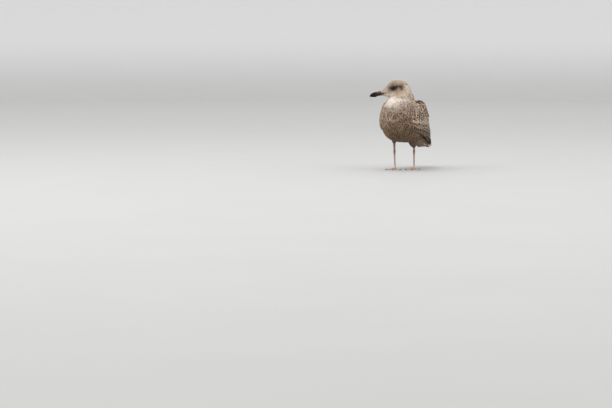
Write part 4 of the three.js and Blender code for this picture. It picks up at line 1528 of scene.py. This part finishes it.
def leg(name):
    """Shank, heel, hind toe, web and three toes as one skin, with its tints and its scutes' places."""
    side, ankle, hock_y, _ = leg_places(name)
    y, z = ankle[1], HOCK_HEIGHT

    def placed(points):
        """From the foot's own frame, toes forward, to the bird's."""
        return turned(points, FOOT_TURN) + ankle

    shank = [
        [y + 0.5, 5, 4, 4.4], [y + 1.5, 12, 3.2, 3.7], [y + 3, 26, 2.7, 3.3], [y + 4.5, 42, 2.8, 3.4],
        [hock_y - 0.6, z - 5, 3.6, 4.3], [hock_y, z, 4.3, 5], [hock_y - 0.6, z + 5, 3.7, 4.2],
        [hock_y - 4, z + 13, 3.6, 4.1], [hock_y - 8, z + 25, 4.2, 5], [hock_y - 14, z + 44, 5, 6],
    ]
    shank = [[leg_x(name, joint[1]), *joint] for joint in shank]
    heel = [[0, 1, 2, 3.4, 4], [0, 0.6, 5, 3.9, 4.4], [0, 0.9, 8, 3.6, 4]]
    hind = turned(toe_points(HIND_TOE_LENGTH)[:, :3], 180) + [-side * 1.5, 2, 0.5]
    hind = np.column_stack([hind, toe_points(HIND_TOE_LENGTH)[:, 3:] * 0.75])
    parts = [limb_tube(shank, 6, 20), moved(limb_tube(heel, 5, 20), placed), moved(web_plate(side), placed)]
    parts.append(moved(limb_tube(hind, 1, 14), placed))
    axis_points = [np.column_stack([between(shank, np.linspace(0, 9, 120))[:, :3], np.zeros(120)])]
    for turn, length in TOES.values():
        toe = toe_points(length)
        parts.append(moved(limb_tube(toe, 2, 16), lambda p, turn=turn: placed(turned(p, turn * side))))
        line = placed(turned(between(toe, np.linspace(0, 20, 60))[:, :3], turn * side))
        axis_points.append(np.column_stack([line, np.linspace(0, length, 60)]))
    obj = fused(f"leg_{name}", parts, LEG_VOXEL, 2)
    points, normals = mesh_points(obj)
    points[:, 2] = np.maximum(points[:, 2], 0)
    move_points(obj, points)

    axis_points = np.concatenate(axis_points)
    index = nearest(points, axis_points[:, :3])
    close = np.linalg.norm(points - axis_points[index, :3], axis=-1)
    on_shank = index < 120
    run = np.where(on_shank, points[:, 2], axis_points[index, 3])
    faces_out = np.where(on_shank, -normals[:, 1], normals[:, 2])
    scutes = ease(faces_out, 0.25, 0.7) * (1 - ease(close, 4.2, 5.5))
    web = ease(close, 2.6, 4.2) * (1 - on_shank)
    height = points[:, 2]
    tint = mix(np.broadcast_to(LEG_PINK, points.shape), LEG_PALE, 1 - ease(height, 4, 30))
    tint = mix(tint, LEG_DUSK, 0.75 * np.exp(-(((height - 66) / 10) ** 2)) + 0.55 * ease(height, 72, 88))
    tint = mix(tint, LEG_WEB, web * 0.6)
    tint = mix(tint, LEG_DUSK, 0.25 * (1 - web) * (1 - on_shank) * ease(close, 1.6, 2.6))
    add_colour(obj, "centre", np.column_stack([tint, scutes]))
    add_number(obj, "run", run)
    add_number(obj, "web", web)
    return obj


def claws(name):
    """Curved cones at the toes' ends: the axis drops by the square of the way along."""
    side, ankle, _, _ = leg_places(name)
    t = np.linspace(0, 1, 9)
    radius = CLAW_RADIUS * (1 - 0.86 * t)
    line = np.stack([0 * t, -CLAW_LENGTH * t, 2.3 + 0.5 * t - 2.4 * t**2, radius, radius], axis=-1)
    tubes = []
    for turn, length in TOES.values():
        def at_toe(points, turn=turn, length=length):
            """From the claw's own frame to the end of its toe."""
            return turned(turned(points - [0, length + CLAW_GAP, 0], turn * side), FOOT_TURN) + ankle
        tubes.append(moved(limb_tube(line, 2, 16), at_toe))
    return make_mesh(f"claws_{name}", *join_tubes(tubes))


leg_pieces = {name: leg(name) for name in SIDES}
claw_pieces = {name: claws(name) for name in SIDES}
print("leg triangles:", sum(map(count_triangles, leg_pieces.values())))

# %% [markdown]
# ## Materials
# A feather's colours come from its own numbers, and its pattern from the vane's own map: x runs across
# the vane and y from root to tip. A fringe lies along the rim, a streak along the shaft, and bars or
# notches cross it. Painting an image would give the same, but nodes stay sharp at any distance.
# Every finish ends the same way: a colour, a roughness and a relief that all vary over the surface.

# %% Node helpers
def new_material(name, roughness):
    """A material with one Principled shader, wired to the output."""
    material = bpy.data.materials.new(name)
    material.use_nodes = True
    tree = material.node_tree
    tree.nodes.clear()
    shader = tree.nodes.new("ShaderNodeBsdfPrincipled")
    output = tree.nodes.new("ShaderNodeOutputMaterial")
    tree.links.new(shader.outputs[0], output.inputs[0])
    shader.inputs["Roughness"].default_value = roughness
    return material, tree, shader


def put(tree, kind, inputs=None, **settings):
    """Adds a node, sets its options, and links or sets each of its inputs."""
    node = tree.nodes.new("ShaderNode" + kind)
    for key, value in settings.items():
        setattr(node, key, value)
    for key, value in (inputs or {}).items():
        if isinstance(value, bpy.types.NodeSocket):
            tree.links.new(value, node.inputs[key])
        else:
            node.inputs[key].default_value = value
    return node


def calc(tree, operation, *values):
    """One step of arithmetic on numbers or sockets."""
    return put(tree, "Math", dict(enumerate(values)), operation=operation).outputs[0]


def rise(tree, value, low, high):
    """0 below low and 1 above high, smooth between."""
    inputs = {0: value, 1: low, 2: high}
    return put(tree, "MapRange", inputs, interpolation_type="SMOOTHSTEP").outputs[0]


def blend(tree, weight, a, b, mode="MIX"):
    """Colour a with b mixed in by weight."""
    return put(tree, "Mix", {0: weight, 6: a, 7: b}, data_type="RGBA", blend_type=mode).outputs[2]


def read(tree, name):
    """The colour, number and spare number kept in the mesh under a name."""
    node = put(tree, "Attribute", attribute_name=name)
    return node.outputs["Color"], node.outputs["Fac"], node.outputs["Alpha"]


def noise(tree, scale, detail=2.0, roughness=0.5):
    """Noise in the shared frame, in metres."""
    place_at = put(tree, "TexCoord").outputs["Object"]
    inputs = {"Vector": place_at, "Scale": scale, "Detail": detail, "Roughness": roughness}
    return put(tree, "TexNoise", inputs).outputs[0]


def paint(red, green, blue):
    """A tone from screen values, with the fourth number that a colour socket wants."""
    return (*tone(red, green, blue), 1)


def shaded(tree, colour, value):
    """A colour made lighter or darker by one number."""
    grey = put(tree, "CombineColor", {k: value for k in range(3)}).outputs[0]
    return blend(tree, 1.0, colour, grey, "MULTIPLY")


def dress(tree, shader, colour, roughness, relief, strength, depth):
    """Links colour, roughness and relief to the shader, with the relief's depth in metres."""
    bumps = put(tree, "Bump", {"Strength": strength, "Distance": depth, "Height": relief})
    tree.links.new(colour, shader.inputs["Base Color"])
    tree.links.new(roughness, shader.inputs["Roughness"])
    tree.links.new(bumps.outputs[0], shader.inputs["Normal"])


# %% Feathers
def feather_material(name, shaft, barbs, roughness, softness, tip_share):
    """Fringe, streak, bars, shaft and barbs, all drawn on the vane's own map.

    tip_share is how wide the fringe is at the tip, as a multiple of its width at the sides."""
    material, tree, shader = new_material(name, roughness)
    centre, _, fringe_width = read(tree, "centre")
    fringe, _, bars = read(tree, "fringe")
    streak, _, strength = read(tree, "streak")
    vane = put(tree, "SeparateXYZ", {0: put(tree, "UVMap", uv_map="vane").outputs[0]})
    x = calc(tree, "ABSOLUTE", calc(tree, "MULTIPLY_ADD", vane.outputs[0], 2.0, -1.0))
    y = vane.outputs[1]
    fine = calc(tree, "SUBTRACT", noise(tree, 900.0, 2.0), 0.5)
    broad = calc(tree, "SUBTRACT", noise(tree, 160.0, 3.0), 0.5)

    ragged = calc(tree, "ADD", calc(tree, "MULTIPLY", y, 30.0), calc(tree, "MULTIPLY", broad, 9.0))
    wave = rise(tree, calc(tree, "SINE", ragged), -0.1, 0.35)
    notch = calc(tree, "MULTIPLY", wave, rise(tree, calc(tree, "ADD", x, fine), 0.2, 0.5))
    colour = blend(tree, calc(tree, "MULTIPLY", notch, bars), centre, fringe)

    narrow = rise(tree, calc(tree, "MULTIPLY_ADD", fine, 0.5, x), 0.7, 0.3)
    drop = calc(tree, "MULTIPLY", narrow, rise(tree, y, 0.2, 0.5))
    colour = blend(tree, calc(tree, "MULTIPLY", drop, strength), colour, streak)

    tipward = calc(tree, "MULTIPLY_ADD", calc(tree, "SUBTRACT", y, 1.0), 2.2 / tip_share, 1.0)
    outermost = calc(tree, "MAXIMUM", calc(tree, "MULTIPLY", x, 0.97), tipward)
    rim = calc(tree, "MULTIPLY_ADD", fine, 0.3, outermost)
    start = calc(tree, "SUBTRACT", 1.0, fringe_width)
    on_fringe = rise(tree, rim, calc(tree, "SUBTRACT", start, 0.07), calc(tree, "ADD", start, 0.07))
    colour = blend(tree, on_fringe, colour, fringe)

    colour = shaded(tree, colour, calc(tree, "MULTIPLY_ADD", broad, 0.5, 1.0))
    if shaft:
        quill = rise(tree, x, 0.07, 0.03)
        colour = blend(tree, calc(tree, "MULTIPLY", quill, shaft), colour, (*(SOOT * 0.6), 1))

    slant = calc(tree, "MULTIPLY_ADD", x, -0.25, y)
    lines = calc(tree, "SINE", calc(tree, "MULTIPLY_ADD", slant, barbs, calc(tree, "MULTIPLY", fine, 4.0)))
    relief = calc(tree, "MULTIPLY_ADD", lines, 0.35, calc(tree, "MULTIPLY", fine, 1.2))
    rough = calc(tree, "MULTIPLY_ADD", fine, 0.25, roughness)
    dress(tree, shader, colour, rough, relief, 0.5, 0.00018)
    shader.inputs["Sheen Weight"].default_value = softness
    shader.inputs["Sheen Roughness"].default_value = 0.5
    shader.inputs["Specular IOR Level"].default_value = 0.15
    return material


SOFT_FEATHER = feather_material("soft body feather", 0.0, 110.0, 0.85, 0.05, 0.45)
WING_FEATHER = feather_material("covert feather", 0.45, 150.0, 0.75, 0.05, 1.0)
FLIGHT_FEATHER = feather_material("flight feather", 0.6, 320.0, 0.62, 0.03, 1.0)


# %% Skin, lids, bill, eyes, legs and claws
def skin_material():
    """Down in the tint of the feathers above it, with a felted relief."""
    material, tree, shader = new_material("down and skin", 0.9)
    centre, _, _ = read(tree, "centre")
    patch = noise(tree, 240.0, 3.0)
    colour = shaded(tree, centre, calc(tree, "MULTIPLY_ADD", patch, 0.6, 0.7))
    rough = calc(tree, "MULTIPLY_ADD", patch, 0.1, 0.85)
    dress(tree, shader, colour, rough, noise(tree, 1200.0, 3.0), 0.6, 0.0004)
    return material


def lid_material():
    """Bare, nearly black skin with brownish patches."""
    material, tree, shader = new_material("bare lid", 0.55)
    patch = noise(tree, 1500.0, 2.0)
    colour = blend(tree, rise(tree, patch, 0.35, 0.75), paint(15, 12, 11), paint(36, 28, 24))
    dress(tree, shader, colour, calc(tree, "MULTIPLY_ADD", patch, 0.2, 0.4), patch, 0.5, 0.0002)
    return material


def eye_material():
    """Pupil, brown iris with rays, and a dark rim, by the distance from the eye's axis in mm."""
    material, tree, shader = new_material("eye", 0.08)
    _, away, _ = read(tree, "from_axis")
    speck = noise(tree, 2200.0, 3.0)
    iris = blend(tree, speck, paint(22, 13, 9), paint(48, 29, 18))
    colour = blend(tree, rise(tree, away, 2.5, 2.8), paint(4, 4, 5), iris)
    colour = blend(tree, rise(tree, away, 4.3, 4.9), colour, paint(16, 11, 9))
    dress(tree, shader, colour, calc(tree, "MULTIPLY_ADD", speck, 0.04, 0.05), speck, 0.05, 0.00005)
    shader.inputs["Coat Weight"].default_value = 0.12
    shader.inputs["Coat Roughness"].default_value = 0.02
    shader.inputs["Specular IOR Level"].default_value = 0.15
    return material


def bill_material():
    """Dull reddish horn at the base, black from just behind the gonys, darker along the cutting edge, with a
    painted highlight on the ridge near the base and painted shade in the nostril.
    """
    material, tree, shader = new_material("bill horn", 0.42)
    _, forward, _ = read(tree, "forward")
    _, edge, _ = read(tree, "from_edge")
    _, pressed, _ = read(tree, "pressed")
    streaky = put(tree, "Mapping", {0: put(tree, "TexCoord").outputs["Object"], 3: (220.0, 900.0, 900.0)})
    grain = put(tree, "TexNoise", {"Vector": streaky.outputs[0], "Scale": 1.0, "Detail": 3.0}).outputs[0]
    colour = blend(tree, grain, paint(42, 27, 25), paint(70, 48, 44))
    # painted highlight: a pale pinkish band along the top of the ridge near the base, where light falls from
    # above
    painted_ridge_highlight = calc(tree, "MULTIPLY", rise(tree, edge, 6.5, 10.0), rise(tree, forward, 62.0, 56.0))
    colour = blend(tree, painted_ridge_highlight, colour, paint(128, 100, 95))
    colour = blend(tree, rise(tree, edge, 2.6, 0.6), colour, paint(36, 24, 23))
    wobble = calc(tree, "MULTIPLY_ADD", grain, 3.0, forward)
    colour = blend(tree, rise(tree, wobble, 59.0, 66.0), colour, paint(13, 12, 13))
    at_end = calc(tree, "MULTIPLY", rise(tree, forward, 78.5, 81.5), 0.35)
    colour = blend(tree, at_end, colour, paint(90, 80, 74))
    # painted shade: the pressed nostril slit is painted near-black for the depth of its opening
    colour = blend(tree, rise(tree, pressed, 0.25, 0.7), colour, paint(12, 9, 9))
    dress(tree, shader, colour, calc(tree, "MULTIPLY_ADD", grain, 0.22, 0.36), grain, 0.35, 0.00025)
    shader.inputs["Specular IOR Level"].default_value = 0.2
    return material


SCUTE_LENGTH = 2.3


def leg_material():
    """Scutes across the front as dark joints at even steps, and a net of small scales elsewhere."""
    material, tree, shader = new_material("scaly leg", 0.55)
    centre, _, scutes = read(tree, "centre")
    _, run, _ = read(tree, "run")
    step = calc(tree, "FRACT", calc(tree, "MULTIPLY", run, 1 / SCUTE_LENGTH))
    joint = rise(tree, calc(tree, "ABSOLUTE", calc(tree, "SUBTRACT", step, 0.5)), 0.36, 0.48)
    inputs = {"Vector": put(tree, "TexCoord").outputs["Object"], "Scale": 850.0}
    cells = put(tree, "TexVoronoi", inputs, feature="DISTANCE_TO_EDGE").outputs[0]
    net = rise(tree, cells, 0.12, 0.02)
    groove = put(tree, "Mix", {0: scutes, 2: net, 3: joint}, data_type="FLOAT").outputs[0]
    patch = noise(tree, 320.0, 3.0)
    colour = shaded(tree, centre, calc(tree, "MULTIPLY_ADD", patch, 0.5, 0.75))
    colour = blend(tree, calc(tree, "MULTIPLY", groove, 0.5), colour, paint(96, 70, 62))
    rough = calc(tree, "MULTIPLY_ADD", groove, 0.2, 0.48)
    dress(tree, shader, colour, rough, calc(tree, "SUBTRACT", 1.0, groove), 0.6, 0.0003)
    return material


def claw_material():
    """Dark horn with a cloudy grain."""
    material, tree, shader = new_material("claw horn", 0.35)
    grain = noise(tree, 900.0, 3.0)
    colour = blend(tree, grain, paint(26, 22, 21), paint(66, 56, 52))
    dress(tree, shader, colour, calc(tree, "MULTIPLY_ADD", grain, 0.25, 0.25), grain, 0.3, 0.0001)
    return material


print("materials:", len(bpy.data.materials))

# %% [markdown]
# ## Putting the bird together
# Each piece gets its material, rides on the one body of this still model and says which solids it
# stands for.

# %% Finish, ride and replace
DRESSED = []


def finish(obj, material, slot, *nodes):
    """Material, body and the solids that this piece stands for; slot is not used."""
    obj.data.materials.clear()
    obj.data.materials.append(material)
    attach(obj, "root")
    if nodes:
        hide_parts(*nodes)
    DRESSED.append(obj)


flesh = ["head", "neck", "trunk", "wing_left", "wing_right", "thigh_left", "thigh_right"]
finish(skin, skin_material(), "plumage_brown", *flesh)
finish(face_feathers, SOFT_FEATHER, "plumage_pale")
finish(neck_feathers, SOFT_FEATHER, "plumage_pale")
finish(breast_feathers, SOFT_FEATHER, "plumage_brown")
finish(belly_feathers, SOFT_FEATHER, "plumage_brown")
finish(cape_feathers, WING_FEATHER, "plumage_wing")
finish(tail_piece, FLIGHT_FEATHER, "plumage_dark", "tail")
finish(tail_covert_piece, SOFT_FEATHER, "plumage_brown")
bill, lids, eyes = bill_material(), lid_material(), eye_material()
legs, horn = leg_material(), claw_material()
for node, obj in bill_pieces.items():
    finish(obj, bill, "bill", node)
for name in SIDES:
    finish(thigh_pieces[name], SOFT_FEATHER, "plumage_brown")
    for obj in wing_pieces[name]:
        finish(obj, WING_FEATHER, "plumage_wing")
    finish(primary_pieces[name], FLIGHT_FEATHER, "plumage_dark", f"primaries_{name}")
    finish(inner_pieces[name], WING_FEATHER, "plumage_wing")
    finish(eye_pieces[name], eyes, "eye", f"eye_{name}")
    finish(lid_pieces[name], lids, "leg_skin")
    finish(leg_pieces[name], legs, "leg_skin", f"tibia_{name}", f"tarsus_{name}", f"foot_{name}")
    finish(claw_pieces[name], horn, "claw", *[f"claw_{name}_{toe}" for toe in TOES])
print("pieces:", len(DRESSED), "triangles:", sum(map(count_triangles, DRESSED)))

# %% [markdown]
# ## Stage, light and camera
# The floor is plain and pale, and curves up far away into a low wall all round, so no edge shows. Two
# large soft lights and a pale sky give the even light of a cloudy day. The camera is far away with a
# long lens, a little above the bird and turned to its left front.

# %% Floor
FLOOR_RADIUS = 9500
WALL_BEND = 2500  # radius of the curve from floor to wall


def floor_bowl():
    """A disc that curves up at its rim, as a profile carried round a circle, in mm from the bird."""
    bend = np.linspace(0, np.pi / 2, 16)[1:]
    radius = np.concatenate([[0.001, 2000, 6000, FLOOR_RADIUS], FLOOR_RADIUS + WALL_BEND * np.sin(bend)])
    height = np.concatenate([np.zeros(4), WALL_BEND * (1 - np.cos(bend))])
    angle = 2 * np.pi * np.arange(96) / 96
    ring = np.stack([np.cos(angle), np.sin(angle)], axis=-1)
    level_part = radius[:, None, None] * ring
    upright_part = np.broadcast_to(height[:, None, None], (len(radius), len(angle), 1))
    grid = np.concatenate([level_part, upright_part], axis=-1)
    return make_mesh("floor", grid.reshape(-1, 3), [grid_faces(len(radius), len(angle), True)[:, ::-1]])


floor = floor_bowl()
floor_paint, floor_tree, floor_shader = new_material("pale studio floor", 0.75)
mottle = noise(floor_tree, 3.0, 3.0)
wall_part = put(floor_tree, "SeparateXYZ", {0: put(floor_tree, "TexCoord").outputs["Object"]}).outputs[2]
near = blend(floor_tree, mottle, (0.53, 0.53, 0.52, 1), (0.56, 0.56, 0.55, 1))
floor_colour = blend(floor_tree, rise(floor_tree, wall_part, 0.0, 0.6), near, (0.74, 0.74, 0.74, 1))
floor_tree.links.new(floor_colour, floor_shader.inputs["Base Color"])
floor.data.materials.append(floor_paint)

# %% Lights
world = bpy.data.worlds.new("cloudy sky")
bpy.context.scene.world = world
world.use_nodes = True
world.node_tree.nodes["Background"].inputs[0].default_value = (0.99, 0.99, 1.0, 1)
world.node_tree.nodes["Background"].inputs[1].default_value = 1.0
bpy.context.scene.view_settings.view_transform = "Standard"


def soft_light(name, place_m, size, power, colour):
    """A square area light aimed at the bird's breast."""
    light = bpy.data.lights.new(name, "AREA")
    light.size, light.energy, light.color = size, power, colour
    obj = bpy.data.objects.new(name, light)
    bpy.context.scene.collection.objects.link(obj)
    obj.location = place_m
    aim = place([[0, -30, 190]])[0] - np.array(place_m)
    obj.rotation_euler = Vector(aim).to_track_quat("-Z", "Y").to_euler()


soft_light("sky light", (-0.6, -0.8, 4.2), 3.2, 48, (1.0, 0.98, 0.95))
soft_light("front light", (-2.4, -4.2, 2.6), 2.4, 50, (1.0, 0.98, 0.95))
soft_light("side light", (4.0, -2.0, 2.2), 2.0, 20, (0.98, 0.99, 1.0))

# %% Camera
AZIMUTH = np.radians(20.0)
DISTANCE = 6840.0
CAMERA_HEIGHT = 418.0
FOCAL_PIXELS, IMAGE_WIDTH, SENSOR = 1900.0, 612.0, 36.0
TURN_PIXELS, DROP_PIXELS = 99.0, 151.0  # how far the optical axis lies left of and above the feet

stand = np.array([0, ANKLE_Y, 0])
camera_at = stand + DISTANCE * np.array([np.sin(AZIMUTH), -np.cos(AZIMUTH), 0]) + [0, 0, CAMERA_HEIGHT]
pitch_down = np.arctan(DROP_PIXELS / FOCAL_PIXELS)
turn_left = np.arctan(TURN_PIXELS / FOCAL_PIXELS * np.cos(pitch_down))
level = np.array([-np.sin(AZIMUTH), np.cos(AZIMUTH), 0])
level = turned(level, np.degrees(turn_left))
view = level * np.cos(pitch_down) - np.array([0, 0, np.sin(pitch_down)])
right = unit(np.cross(view, [0, 0, 1]))
above = np.cross(right, view)
camera_data = bpy.data.cameras.new("camera")
camera_data.lens = FOCAL_PIXELS * SENSOR / IMAGE_WIDTH
camera_data.sensor_width = SENSOR
camera_data.clip_end = 100
camera = bpy.data.objects.new("camera", camera_data)
turn = Matrix((right, above, -view)).transposed().to_4x4()
camera.matrix_world = Matrix.Translation(place([camera_at])[0]) @ turn
bpy.context.scene.collection.objects.link(camera)
bpy.context.scene.camera = camera
print("lens in mm:", round(camera_data.lens, 2))
